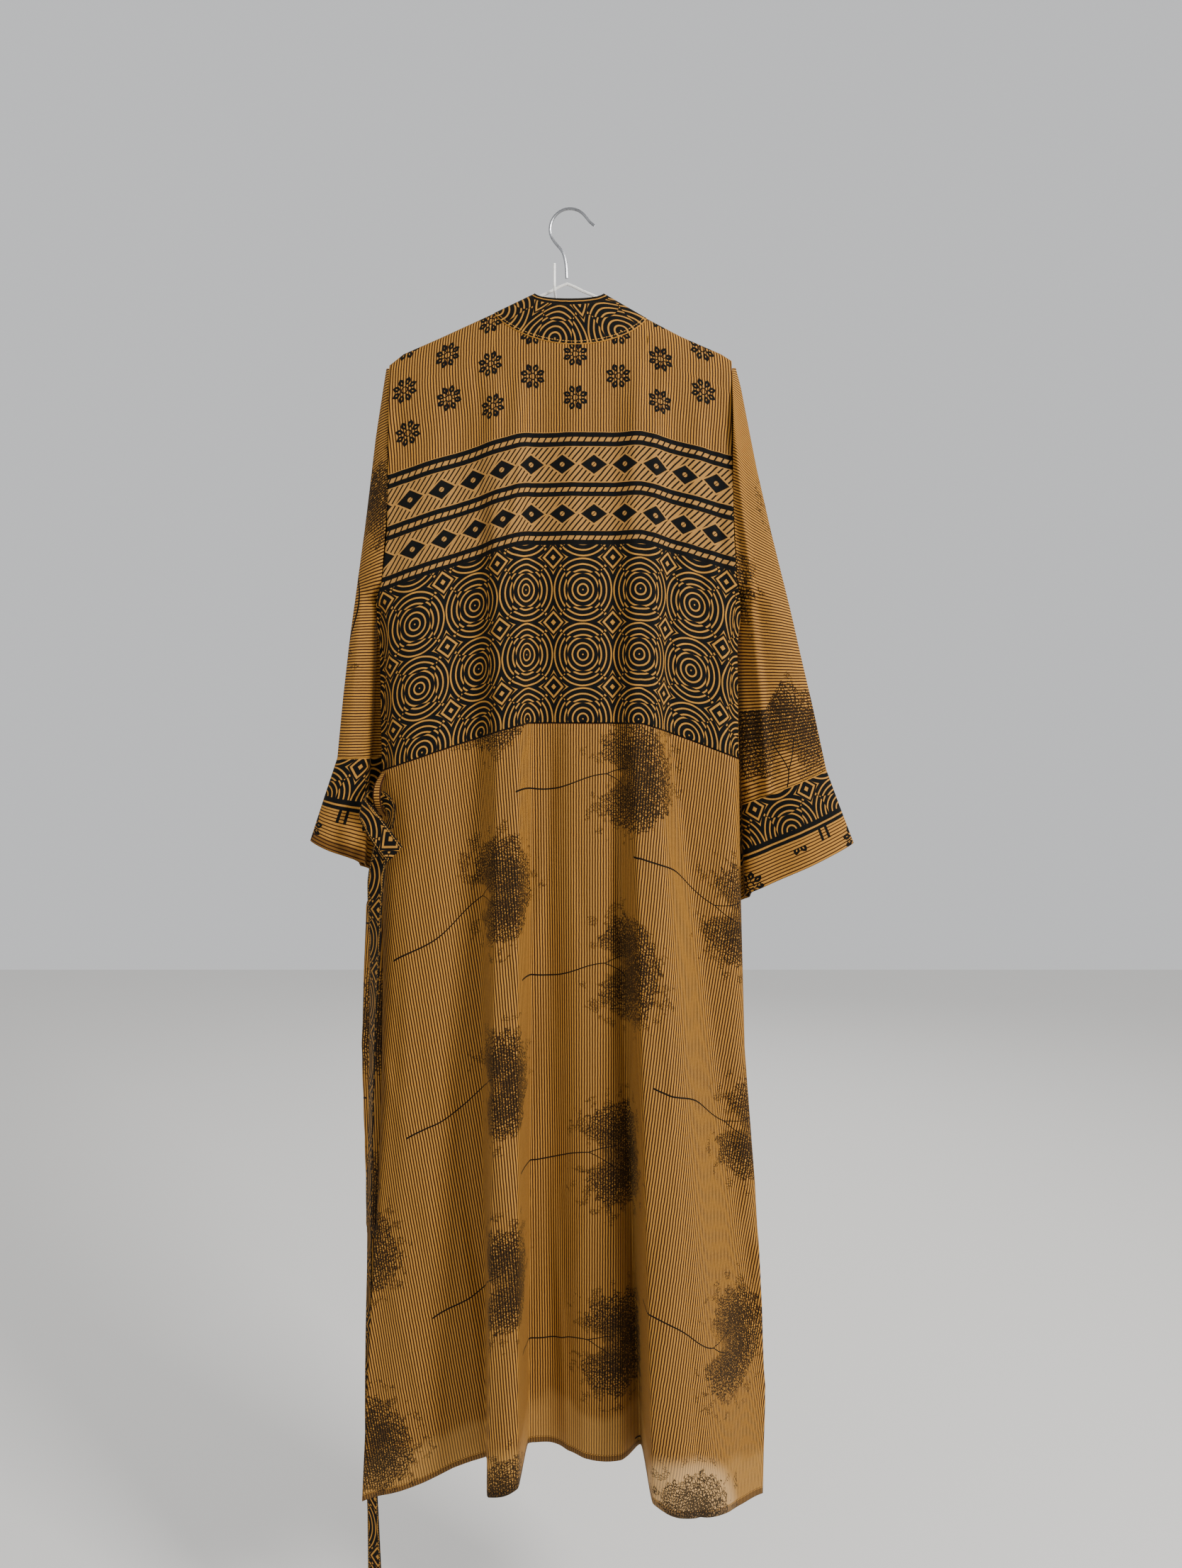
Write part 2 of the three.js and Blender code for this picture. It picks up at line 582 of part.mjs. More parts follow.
function front(side) {
  const sign = side === "left" ? -1 : 1;
  const grid = frontGrid(side);
  const loose = (z) => along(SIDES, "z", z, side === "left" ? "swell" : "sliver");
  const sides = squareSides(grid, { 0: { sign, loose } });
  const adjust = (i, j, normal) => (i === 0 ? normal.setY(0) : sides(i, j, normal));
  return clothWall(`front_${side}`, grid, CLOTH, COLOURS.cloth, { front: sign, adjust });
}

// A band follows its front's edge: each of its columns is that edge, moved along the shoulder.
function frontBand(side) {
  const sign = side === "left" ? -1 : 1;
  const edge = FRONT_EDGE[side];
  const gap = (sign * SEAM) / 2;
  const columns = evenParts(BAND_COLUMNS).map((part) => {
    const x = lerp(edge.top, COLLAR_TOP[side], part);
    return { shift: x - edge.top - gap, x, z: shoulderZ(x) };
  });
  const pointOf = ({ shift, z: topZ }, z) => {
    const x = frontSeamX(z + edge.topZ - topZ, side) + shift;
    return { x, h: shoulderZ(x) - z };
  };
  const grid = TOP_ROWS.map((a) => columns.map((column) => {
    const z = column.z - overShoulder(a).down;
    const { x, h } = pointOf(column, z);
    return place(x, HANG_PLANE - SEAM / 2 - outBelow(h), z);
  }));
  for (let i = 1; i <= FRONT_ROWS; i += 1) {
    grid.push(columns.map((column) => {
      const z = columnZ(column.z, 0, i / FRONT_ROWS);
      const { x } = pointOf(column, z);
      return place(x, frontOut(x, -z, z, side), z);
    }));
  }
  const adjust = (i, j, normal) => (i === 0 ? normal.setY(0) : normal);
  return clothWall(`front_band_${side}`, grid, BAND_CLOTH, COLOURS.band, { front: sign, adjust });
}

// ---- the band round the neck ------------------------------------------------------------

function neckBand() {
  const rows = 4;
  const grid = evenParts(rows).map((down) => {
    const row = [];
    for (let k = 0; k <= NECK_COLUMNS; k += 1) {
      const part = neckShare(k);
      const seamX = lerp(NECK.left, NECK.right, part);
      const lowX = lerp(NECK.left + SEAM, NECK.right - SEAM, part);
      const topX = lerp(COLLAR_TOP.left, COLLAR_TOP.right, part);
      const lowZ = (neckSeamZ(seamX) ?? shoulderZ(seamX)) + SEAM / 2;
      const topZ = bowl(topX, COLLAR_TOP, COLLAR_TOP.z, COLLAR_TOP.z) ?? COLLAR_TOP.z;
      const x = lerp(topX, lowX, down);
      const z = lerp(topZ, lowZ, down);
      const h = Math.max(0, shoulderZ(x) - z);
      const stand = 3 * (1 - down) * Math.sin(Math.PI * part);
      row.push(place(x, HANG_PLANE + SEAM / 2 + outBelow(h) + stand, z));
    }
    return row;
  });
  const adjust = (i, j, normal) => (j === 0 || j === NECK_COLUMNS ? normal.setY(0) : normal);
  return clothWall("neck_band", grid, BAND_CLOTH, COLOURS.band, { adjust });
}

// ---- the sleeves ------------------------------------------------------------------------

// The middle line of a section, from the outer fold to the inner edge, seen from above.
function sleeveSpine(row, armX, sign) {
  if (row.turnX === undefined) {
    return new THREE.LineCurve(
      new THREE.Vector2(row.outerX, HANG_PLANE),
      new THREE.Vector2(armX, HANG_PLANE),
    );
  }
  const { outerX, turnX, innerX, innerOut } = row;
  return new THREE.SplineCurve([
    new THREE.Vector2(outerX, HANG_PLANE),
    new THREE.Vector2(lerp(outerX, turnX, 0.8), HANG_PLANE),
    new THREE.Vector2(turnX, lerp(HANG_PLANE, innerOut, 0.3)),
    new THREE.Vector2(turnX, lerp(HANG_PLANE, innerOut, 0.75)),
    new THREE.Vector2(lerp(turnX, innerX, 0.25) - sign * 2, innerOut),
    new THREE.Vector2(innerX, innerOut),
  ]);
}

// The round shape of a fold, and of the inner edge, where the two layers meet.
const rounded = (t) => Math.sqrt(1 - (1 - clamp01(t)) ** 2);
const closingAt = (t) => Math.sqrt(Math.max(0, 1 - t ** 8));

// A row of a sleeve: from the back of its inner edge, round the outer fold, to the front.
function sleeveRow(row, side, columns) {
  const { sign } = SLEEVES[side];
  const armX = along(SIDES, "z", row.innerZ, side) + sign * SEAM;
  const tucked = row.turnX !== undefined;
  const spine = sleeveSpine(row, armX, sign);
  const armHalf = outBelow(shoulderZ(armX) - row.innerZ);
  const turn = tucked ? (0.8 * Math.abs(row.outerX - row.turnX)) / spine.getLength() : 1;
  return evenParts(columns).map((part) => {
    const round = Math.PI * (part - 0.5);
    const t = clamp01(1 - Math.cos(round));
    const at = spine.getPointAt(t);
    const tangent = spine.getTangentAt(t);
    const half = tucked
      ? lerp(row.half, TUCK_HALF, ease((2 * t) / turn - 1)) * rounded((2 * t) / turn) * closingAt(t)
      : lerp(row.half, armHalf, ease(t)) * rounded(t);
    const off = sign * Math.sign(round) * (half + (tucked ? (SEAM / 2) * ease(2 * t - 1) : 0));
    const z = lerp(row.outerZ, row.innerZ, t);
    return place(at.x - tangent.y * off, at.y + tangent.x * off, z);
  });
}

function sleeveGrid(table, side, rows, skip = 0) {
  const sections = table.map((row) => sleeveRow(row, side, SLEEVE_COLUMNS));
  return evenParts(rows).map((part) => {
    const k = lerp(skip, 1, part) * (table.length - 1);
    const low = Math.min(Math.floor(k), table.length - 2);
    return sections[low].map((point, j) => point.clone().lerp(sections[low + 1][j], k - low));
  });
}

const SLEEVE_COLUMNS = 24;
const SLEEVE_ROWS = 18;
const CUFF_ROWS = 4;

function sleeve(side) {
  const { sign, rows } = SLEEVES[side];
  const grid = sleeveGrid(rows, side, SLEEVE_ROWS);
  return clothWall(`sleeve_${side}`, grid, CLOTH, COLOURS.cloth, { front: sign });
}

function cuff(side) {
  const { sign, cuff: rows } = SLEEVES[side];
  const grid = sleeveGrid(rows, side, CUFF_ROWS, 0.006);
  return clothWall(`cuff_${side}`, grid, CLOTH, COLOURS.print, { front: sign });
}

// ---- the belt and its loop --------------------------------------------------------------

// A strip along rows of a table: its middle line, and its half width in each direction.
function strip(name, rows, wall, steps, columns) {
  const route = new THREE.CatmullRomCurve3(rows.map(({ x, out, z }) => place(x, out, z)));
  const grid = evenParts(steps).map((part) => {
    const at = route.getPoint(part);
    const k = part * (rows.length - 1);
    const low = Math.min(Math.floor(k), rows.length - 2);
    const span = ["spanX", "spanOut", "spanZ"].map((column) =>
      lerp(rows[low][column], rows[low + 1][column], k - low));
    return evenParts(columns).map((share) => {
      const side = 2 * share - 1;
      return at.clone().add(place(side * span[0], side * span[1], side * span[2]));
    });
  });
  return clothWall(name, grid, wall, COLOURS.band);
}

const belt = () => strip("belt", BELT, BELT_CLOTH, 51, 2);

function beltLoop() {
  const rows = evenParts(4).map((t) => {
    const stand = Math.sin(Math.PI * t) ** 0.7;
    return {
      x: lerp(LOOP.endX, LOOP.midX, stand),
      out: lerp(LOOP.endOut, LOOP.midOut, stand),
      z: lerp(LOOP.top, LOOP.foot, t),
      spanX: lerp(LOOP.half * Math.SQRT1_2, LOOP.half, stand),
      spanOut: lerp(LOOP.half * Math.SQRT1_2, 0, stand),
      spanZ: 0,
    };
  });
  return strip("belt_loop_left", rows, CLOTH, 12, 2);
}

// ---- the hanger and the wall hook -------------------------------------------------------

const inPlane = ({ x, z }) => place(x, HANG_PLANE, z);

function hanger() {
  const { neck, left, right, endRound, endDrop } = HANGER;
  const end = (row, sign) => [
    { x: row.x + sign * endRound * 0.8, z: row.z - endDrop * 0.3 },
    { x: row.x + sign * endRound * 0.6, z: row.z - endDrop * 0.85 },
    { x: row.x - sign * endRound * 0.6, z: row.z - endDrop },
  ];
  const outline = [
    neck,
    ...right,
    ...end(right[right.length - 1], 1),
    { x: neck.x, z: right[right.length - 1].z - endDrop },
    ...end(left[left.length - 1], -1).reverse(),
    ...[...left].reverse(),
  ];
  const look = { roughness: 0.45 };
  return wireAlong("hanger", outline.map(inPlane), WIRE.radius, COLOURS.coat, look,
    { closed: true, steps: 84 });
}

function crook() {
  const { centre, radius, from, to, wire } = CROOK;
  const arc = [];
  const steps = 8;
  for (let k = 0; k <= steps; k += 1) {
    const angle = THREE.MathUtils.degToRad(lerp(from, to, k / steps));
    arc.push({ x: centre.x + radius * Math.cos(angle), z: centre.z + radius * Math.sin(angle) });
  }
  const route = [...CROOK_STEM, ...arc, ...CROOK_TIP].map(inPlane);
  return wireAlong("crook", route, wire, COLOURS.metal, { roughness: 0.3, metalness: 0.9 },
    { steps: 36 });
}

function wallHook() {
  const { reach, rise, bend } = HOOK;
  const route = [place(0, 0, 0), place(0, reach - bend, 0)];
  for (let k = 1; k <= 4; k += 1) {
    const angle = (Math.PI / 2) * (k / 4);
    route.push(place(0, reach - bend + bend * Math.sin(angle), bend * (1 - Math.cos(angle))));
  }
  route.push(place(0, reach, rise));
  return wireAlong("wall_hook", route, HOOK.radius, COLOURS.coat, { roughness: 0.4 }, { steps: 18 });
}

// ---- the whole robe ---------------------------------------------------------------------

const robe = new THREE.Group();
robe.add(
  backUpper(),
  backLower(),
  front("left"),
  front("right"),
  neckBand(),
  frontBand("left"),
  frontBand("right"),
  sleeve("left"),
  sleeve("right"),
  cuff("left"),
  cuff("right"),
  belt(),
  beltLoop(),
  hanger(),
  crook(),
  wallHook(),
);

export default robe;
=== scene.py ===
# %% [markdown]
# # A kimono robe on a wire hanger
# A robe of thin printed cloth hangs from a wire hanger, with its back towards the viewer. The
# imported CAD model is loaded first, as a fixed frame: it says where every piece is. Here each
# sewn piece is made again with fine folds, as cloth, and gets its print, weave and stitching.

# %% Load the frame
import math

import bmesh
import bpy
import numpy as np
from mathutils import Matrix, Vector


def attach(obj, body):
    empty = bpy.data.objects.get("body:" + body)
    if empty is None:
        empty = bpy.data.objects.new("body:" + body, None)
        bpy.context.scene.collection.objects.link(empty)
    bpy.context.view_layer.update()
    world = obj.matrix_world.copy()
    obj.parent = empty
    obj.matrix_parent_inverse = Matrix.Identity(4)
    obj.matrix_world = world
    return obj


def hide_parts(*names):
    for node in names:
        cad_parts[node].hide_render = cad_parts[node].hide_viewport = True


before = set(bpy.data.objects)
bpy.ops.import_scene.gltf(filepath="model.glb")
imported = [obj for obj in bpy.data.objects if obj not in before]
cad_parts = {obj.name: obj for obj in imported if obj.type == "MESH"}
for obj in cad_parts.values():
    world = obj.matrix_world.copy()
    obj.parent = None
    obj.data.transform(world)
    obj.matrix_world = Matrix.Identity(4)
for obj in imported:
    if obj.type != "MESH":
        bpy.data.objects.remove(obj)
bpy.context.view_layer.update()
MM = 0.001  # the tables below are in millimetres, and meshes are in metres
print("CAD nodes:", sorted(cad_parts))

# %% [markdown]
# ## Camera
# The camera stands a little to the right of the robe's middle and looks straight at the wall,
# tilted down by four degrees. A wide lens from near by makes the hem look smaller than the
# shoulders, as a tall garment does when it is seen from chest height. Made first, because it
# needs nothing else.

# %% Camera
CAMERA_AT = Vector((0.041, -1.357, -0.458))
TILT_DOWN = math.radians(4.26)
FOCAL_SHARE = 1600 / 2212  # focal length over the picture's height

camera_data = bpy.data.cameras.new("camera")
camera_data.sensor_fit = "VERTICAL"
camera_data.sensor_height = 36
camera_data.lens = 36 * FOCAL_SHARE
camera_data.clip_start = 0.05
camera = bpy.data.objects.new("camera", camera_data)
camera.location = CAMERA_AT
camera.rotation_euler = (math.pi / 2 - TILT_DOWN, 0, 0)
bpy.context.scene.collection.objects.link(camera)
bpy.context.scene.camera = camera
print("lens", round(camera_data.lens, 2), "mm")

# %% [markdown]
# ## How the cloth hangs
# Cloth hardly stretches, so a hanging panel keeps its lengths: a thread that lies level in the
# flat cloth stays as long when it swings in and out over the flutes. Each row of a panel is
# therefore worked out as a line seen from above, and the cloth's threads are spaced evenly
# along it. A simulation could find such folds too, but it would not put them where this robe
# has them. The numbers are those of the CAD model.

# %% Named sizes of the robe
HANG_PLANE = 38  # the shoulder seams and the side seams stand this far off the wall
WAIST = 485
HEM = 1354
SHOULDER_ROUND = 5
SHOULDER_TURN = math.radians(70)
BACK_SWELL = 12
HEM_TUCK = 8
SIDE_ROUND = 18
ARMHOLE_FOOT = -330
ARMHOLE_CLOSE = 30
SLIT_TOP = -1085
TOP_W = 80
FRONT_LAP = 4.5
FRONT_CROSS = -560
NECK = dict(left=-68, right=104, left_z=-23, right_z=-29, dip=35, power=0.7)
COLLAR_TOP = dict(left=-22, right=55, left_z=-1.5, right_z=-1.5, dip=8, power=0.5)
FRONT_EDGE = {
    "left": dict(top=-68, top_z=-23, waist=58),
    "right": dict(top=104, top_z=-29, waist=-32),
}

SHOULDER = dict(
    x=[-195, -184, -171, -131, -68, -22, 55, 104, 143, 188, 201, 212],
    z=[-86, -78, -68, -51, -23, -1.5, -1.5, -29, -49, -68, -76, -88],
)
SIDES = dict(
    z=[-80, -135, -270, -328, -348, -366, -395, -630, -700, -870, -1036, -1173, -1300, -1440],
    left=[-187, -187, -190, -197, -206, -206, -203, -202, -203, -206, -213, -222, -230, -238],
    right=[200, 200, 203, 207, 213, 213, 210, 215, 217, 223, 237, 245, 251, 246],
    swell=[0, 0, 0, 0, 0, 0, 0, 0, 27, 32, 22, 14, 7, 2],
    sliver=[0, 0, 0, 0, 0, 0, 0, 0, 0, 0, 0, 5, 8, 10],
)
DROP_START = dict(left=-30, right=97)
DROPS = dict(
    w=[60, 200, 300, 485, 1354],
    left=[44, 48, 54, 56, 76],
    right=[24, 25, 31, 42, 54],
)


def flute(at, half, left, right, yoke, waist, hem):
    """A ridge: at, half, left and right are each (at the waist, at the hem)."""
    return dict(at=at, half=half, left=left, right=right, yoke=yoke, waist=waist, hem=hem)


BACK_FOLDS = [
    flute((-150, -175), (12, 14), (30, 40), (30, 40), 5, 8, 9),
    flute((-53, -60), (9, 17), (28, 9), (20, 8), 11, 22, 82),
    flute((35, 60), (14, 16), (34, 56), (34, 30), 5, 9, 36),
    flute((101, 135), (9, 24), (30, 10), (24, 118), 11, 22, 110),
]
FRONT_FOLDS = [
    flute((-140, -150), (8, 10), (30, 34), (30, 34), 1, 4, 7),
    flute((-50, -62), (8, 10), (26, 30), (26, 30), 1, 4, 7),
    flute((40, 35), (8, 10), (28, 34), (28, 34), 1, 3, 6),
    flute((140, 150), (8, 10), (30, 34), (30, 34), 1, 4, 7),
]


# %% Small tools for numbers
def lerp(a, b, t):
    return a + (b - a) * t


def share(t):
    return np.clip(t, 0, 1)


def ease(t):
    t = share(t)
    return t * t * (3 - 2 * t)


def read(table, key, value, column):
    """The value of a column of a table, between its rows."""
    keys = np.array(table[key], float)
    order = np.argsort(keys)
    return np.interp(value, keys[order], np.array(table[column], float)[order])


# %% The shape over the shoulders
def over_shoulder(a):
    """Out and down from the shoulder line, after a length a of cloth."""
    arc = SHOULDER_ROUND * SHOULDER_TURN
    turn = np.minimum(a, arc) / SHOULDER_ROUND
    rest = np.maximum(0, a - arc)
    fall = np.exp(-rest * math.cos(SHOULDER_TURN) / BACK_SWELL)
    out = SHOULDER_ROUND * np.sin(turn) + BACK_SWELL * (1 - fall)
    return out, SHOULDER_ROUND * (1 - np.cos(turn)) + rest


def out_below(h):
    """Out from the shoulder line, at a height h below it."""
    turned = SHOULDER_ROUND * (1 - math.cos(SHOULDER_TURN))
    far = over_shoulder(np.maximum(0, h - turned) + SHOULDER_ROUND * SHOULDER_TURN)[0]
    near = SHOULDER_ROUND * np.sin(np.arccos(1 - np.clip(h, 0, turned) / SHOULDER_ROUND))
    return np.where(h >= turned, far, near)


def shoulder_z(x):
    return read(SHOULDER, "x", x, "z")


def bowl(x, edge):
    """The curve of the neck seam or of the collar's top. Outside it, the shoulder line."""
    t = (2 * x - edge["left"] - edge["right"]) / (edge["right"] - edge["left"])
    level = lerp(edge["left_z"], edge["right_z"], (t + 1) / 2)
    inside = np.abs(t) < 1
    dip = edge["dip"] * np.where(inside, 1 - t * t, 0) ** edge["power"]
    return np.where(inside, level - dip, shoulder_z(x)), inside


# %% Drops, sides and flutes
def sides_at(w):
    """Where the two side seams are, in the row that lies at w in the flat cloth."""
    left_z = -w - read(DROPS, "w", w, "left")
    right_z = -w - read(DROPS, "w", w, "right")
    return dict(
        left_z=left_z,
        right_z=right_z,
        left=read(SIDES, "z", left_z, "left"),
        right=read(SIDES, "z", right_z, "right"),
    )


def drop_at(x, w, sides):
    """How far a level thread hangs below its middle, because the shoulders slope."""
    to_left = share((DROP_START["left"] - x) / (DROP_START["left"] - sides["left"]))
    to_right = share((x - DROP_START["right"]) / (sides["right"] - DROP_START["right"]))
    left = read(DROPS, "w", w, "left") * to_left**1.1
    return left + read(DROPS, "w", w, "right") * to_right**1.1


def closed_at(z):
    """1 where the side seam is sewn, 0 along the armhole and the slit."""
    below = ease((ARMHOLE_FOOT - z) / ARMHOLE_CLOSE)
    return below * ease((z - SLIT_TOP) / ARMHOLE_CLOSE + 1)


def fold_depth(folds, x, w):
    t = share((w - WAIST) / (HEM - WAIST))
    start = ease((w - 60) / 90)
    upper = ease((w - 150) / (WAIST - 150))
    total = 0 * x
    for fold in folds:
        above = start * lerp(fold["yoke"], fold["waist"], upper)
        depth = np.where(w < WAIST, above, lerp(fold["waist"], fold["hem"], t))
        at = lerp(*fold["at"], t)
        half = lerp(*fold["half"], t)
        left = ease((x - at + half) / lerp(*fold["left"], t) + 1)
        right = ease((at + half - x) / lerp(*fold["right"], t) + 1)
        dome = 1 - 0.11 * t * share(abs(x - at) / (half + 5)) ** 2
        total = total + depth * dome * left * right
    return total


def back_out(x, w, z):
    tuck = HEM_TUCK * ease((w - WAIST) / (HEM - WAIST))
    h = shoulder_z(x) - z
    return HANG_PLANE + out_below(h) - tuck + fold_depth(BACK_FOLDS, x, w)


def front_out(x, w, z, side):
    h = shoulder_z(x) - z
    inward = ease((x + 150) / 70) if side == "left" else ease((170 - x) / 60)
    lap = ease((h - 20) / 60) * FRONT_LAP * inward * (-1 if side == "left" else 1)
    return HANG_PLANE - out_below(h) + lap - fold_depth(FRONT_FOLDS, x, w)


# %% One row of a panel, seen from above
def side_turn(x_side, sign, closed, swell, out_of, seam_out):
    angle = np.linspace(0, math.pi / 2, 24, endpoint=False)
    x = x_side + sign * SIDE_ROUND * (1 - np.cos(angle))
    out = lerp(out_of(x), seam_out, closed * (1 - np.sin(angle)))
    return x - sign * swell * np.sin(2 * angle), out


def row_line(left, right, out_of, seam_out):
    """A dense line (x, out) from the left edge to the right one.

    An edge is (x, turns, closed, swell).
    """
    start = left[0] + SIDE_ROUND if left[1] else left[0]
    stop = right[0] - SIDE_ROUND if right[1] else right[0]
    x = np.linspace(start, stop, 420)
    out = out_of(x)
    if left[1]:
        turn_x, turn_out = side_turn(left[0], 1, left[2], left[3], out_of, seam_out)
        x, out = np.append(turn_x, x), np.append(turn_out, out)
    if right[1]:
        turn_x, turn_out = side_turn(right[0], -1, right[2], right[3], out_of, seam_out)
        x, out = np.append(x, turn_x[::-1]), np.append(out, turn_out[::-1])
    return x, out


def spread(line, parts, anchor):
    """Points of a line at even lengths along it, and their length from the anchor's x."""
    x, out = line
    s = np.append(0, np.cumsum(np.hypot(np.diff(x), np.diff(out))))
    at = parts * s[-1]
    middle = slice(30, -30)
    zero = np.interp(anchor, x[middle], s[middle])
    return np.interp(at, s, x), np.interp(at, s, out), at - zero


# %% [markdown]
# ## Cloth meshes
# Every sewn piece starts as a plain grid. Its points are moved to where the cloth hangs, and the
# place each point had in the flat cloth is kept as a UV map in metres. The prints are drawn on
# that map, so they bend with the folds as printed cloth does. Soft creases are added as shallow
# troughs and ridges, and a Solidify modifier gives the cloth its thickness.

# %% Grid, creases, hang
cloth = {}


def soft_creases(u, w, seed, count, depth, upright=1.0):
    """Uneven shallow troughs and ridges, mostly along the cloth's length."""
    chance = np.random.default_rng(seed)
    total = 0 * u
    for _ in range(count):
        u0 = chance.uniform(u.min(), u.max())
        w0 = chance.uniform(w.min(), w.max())
        lean = chance.normal(0, 0.12) if chance.random() < upright else chance.normal(0, 0.9)
        wide = chance.uniform(4, 15)
        long = chance.uniform(50, 190)
        high = depth * chance.uniform(0.35, 1.0) * (1 if chance.random() < 0.5 else -1)
        across = (u - u0) * math.cos(lean) - (w - w0) * math.sin(lean)
        down = (u - u0) * math.sin(lean) + (w - w0) * math.cos(lean)
        total = total + high * np.exp(-((across / wide) ** 2) - (down / long) ** 2)
    return total


LEAVES_BACK = dict(
    u=[57, -128, 219, 55, -144, 270, 37, -154, 270, 36, -386, -408, -175, 222, -122],
    w=[545, 664, 666, 763, 885, 920, 985, 1111, 1173, 1212, 1036, 1285, 1376, 1370, 442],
    turn=[0, -0.2, 0.12, 0, -0.15, 0.12, 0, -0.2, 0.12, 0.05, -0.2, -0.2, -0.2, 0.1, -0.2],
    flip=[1, 1, -1, 1, 1, -1, 1, 1, -1, 1, 1, 1, 1, -1, 1],
)
LEAVES_FRONT = dict(
    u=[-340, -340, -340, -340, -150, -150, -150, -150, -150, 40, 40, 40, 40, 230, 230, 230, 230],
    w=[440, 662, 884, 1106, 325, 551, 773, 995, 1217, 440, 662, 884, 1106, 325, 773, 995, 1217],
    turn=[-0.2, -0.1, -0.2, 0.1, 0, 0.1, 0, -0.1, 0, 0.2, 0.1, 0.2, 0, 0.1, 0, -0.2, 0.1],
)
LEAVES_SLEEVE = {
    "left": dict(u=[175, 330, 140], w=[-2, 60, 90], turn=[3.25, 3.0, 3.2]),
    "right": dict(u=[424, 268, 180, 350], w=[-40, -104, 72, 84], turn=[3.0, 3.1, 3.2, 3.0]),
}


def from_leaves(u, w, leaves):
    """Every point as each leafy bush sees it: how far right of and below its crown."""
    sight = []
    flips = leaves.get("flip", [1] * len(leaves["u"]))
    for leaf_u, leaf_w, turn, flip in zip(leaves["u"], leaves["w"], leaves["turn"], flips):
        du, dw = u - leaf_u, w - leaf_w
        right = du * math.cos(turn) + dw * math.sin(turn)
        sight.append((right, flip * (dw * math.cos(turn) - du * math.sin(turn))))
    sight = np.array(sight)
    nearest = np.argmin(np.maximum(abs(sight[:, 0] + 50) / 105, abs(sight[:, 1]) / 72), axis=0)
    return sight, nearest


def hang(name, places, flat, thickness, turned=False, leaves=None):
    """Makes a cloth piece: places is (x, out, z) and flat is (u, w), as grids in millimetres."""
    x, out, z = places
    rows, columns = x.shape
    bm = bmesh.new()
    bmesh.ops.create_grid(bm, x_segments=columns - 1, y_segments=rows - 1, size=0.5)
    uv_layer = bm.loops.layers.uv.new("flat_cloth")
    leaf_layer = bm.loops.layers.uv.new("leaf_print") if leaves else None
    sight, nearest = from_leaves(*flat, leaves) if leaves else (None, None)
    seats = {}
    for vert in bm.verts:
        j = round((vert.co.x + 0.5) * (columns - 1))
        i = round((0.5 - vert.co.y) * (rows - 1))
        seats[vert.index] = (i, j)
        vert.co = (x[i, j] * MM, -out[i, j] * MM, z[i, j] * MM)
    for face in bm.faces:
        face.smooth = True
        for loop in face.loops:
            seat = seats[loop.vert.index]
            loop[uv_layer].uv = (flat[0][seat] * MM, flat[1][seat] * MM)
            if leaves:
                which = nearest[seats[face.verts[0].index]]
                loop[leaf_layer].uv = sight[(which, slice(None), *seat)] * MM
    if turned:
        bmesh.ops.reverse_faces(bm, faces=bm.faces)
    mesh = bpy.data.meshes.new(name)
    bm.to_mesh(mesh)
    bm.free()
    piece = bpy.data.objects.new(name, mesh)
    bpy.context.scene.collection.objects.link(piece)
    wall = piece.modifiers.new("thickness", "SOLIDIFY")
    wall.thickness = thickness * MM
    wall.offset = 0
    cloth[name] = piece
    print(f"{name}: {rows} by {columns} points")
    return piece


# %% [markdown]
# ## The back
# The back is one piece from the shoulders to the waist seam, and a flared piece below it. The
# flutes start under the shoulders and open towards the hem, where they stand up to 110 mm proud.

# %% Upper back
def upper_back():
    sides = sides_at(TOP_W)
    left, right = sides["left"], sides["right"]
    turned = (1 - np.cos(np.linspace(0, math.pi, 97))) / 2
    top_x = np.concatenate([
        np.linspace(left, NECK["left"], 46, endpoint=False),
        lerp(NECK["left"], NECK["right"], turned),
        np.linspace(right, NECK["right"], 46, endpoint=False)[::-1],
    ])
    top_z, is_open = bowl(top_x, NECK)
    parts = (top_x - left) / (right - left)
    first = np.array([0, 0.8, 1.6, 2.5, 3.6, 4.8, 6, 9, 12, 16, 22, 30, 40])
    grid = []
    for a in first:
        step_out, step_down = over_shoulder(a)
        open_z = top_z - a
        w = -open_z - drop_at(top_x, TOP_W, sides)
        open_out = back_out(top_x, w, open_z)
        z = np.where(is_open, open_z, top_z - step_down)
        out = np.where(is_open, open_out, HANG_PLANE + step_out)
        grid.append((top_x, out, z, -z - drop_at(top_x, TOP_W, sides)))
    start_w = -top_z - drop_at(top_x, TOP_W, sides) + first[-1]
    for t in np.linspace(0, 1, 150)[1:]:
        w = lerp(start_w, WAIST, t)
        row = []
        middle = float(np.median(w))
        for level in (w.min(), middle, w.max()):
            row.append(back_row(level, parts)[:2])
        point_x = np.array([
            np.interp(w[j], [w.min(), middle, w.max()], [r[0][j] for r in row])
            for j in range(len(parts))
        ]) if w.max() - w.min() > 1 else row[1][0]
        settled = ease(t * 3)
        x = lerp(top_x, point_x, settled)
        here = sides_at(w)
        z = -w - drop_at(x, w, here)
        out = back_out(x, w, z)
        edge = closed_at(z) * (1 - ease((x - here["left"]) / SIDE_ROUND))
        edge = edge + closed_at(z) * (1 - ease((here["right"] - x) / SIDE_ROUND))
        grid.append((x, lerp(out, HANG_PLANE, share(edge)), z, w))
    x, out, z, w = (np.array([row[k] for row in grid]) for k in range(4))
    return x, out, z, arc_from(x, out, 31.8), w


def back_row(w, parts):
    """One level row of the back: x, out and the length along the cloth from its middle."""
    sides = sides_at(w)
    left = (float(sides["left"]), True, closed_at(sides["left_z"]), 0)
    right = (float(sides["right"]), True, closed_at(sides["right_z"]), 0)
    line = row_line(left, right, lambda x: back_out(x, w, -w - drop_at(x, w, sides)), HANG_PLANE)
    return spread(line, parts, 31.8)


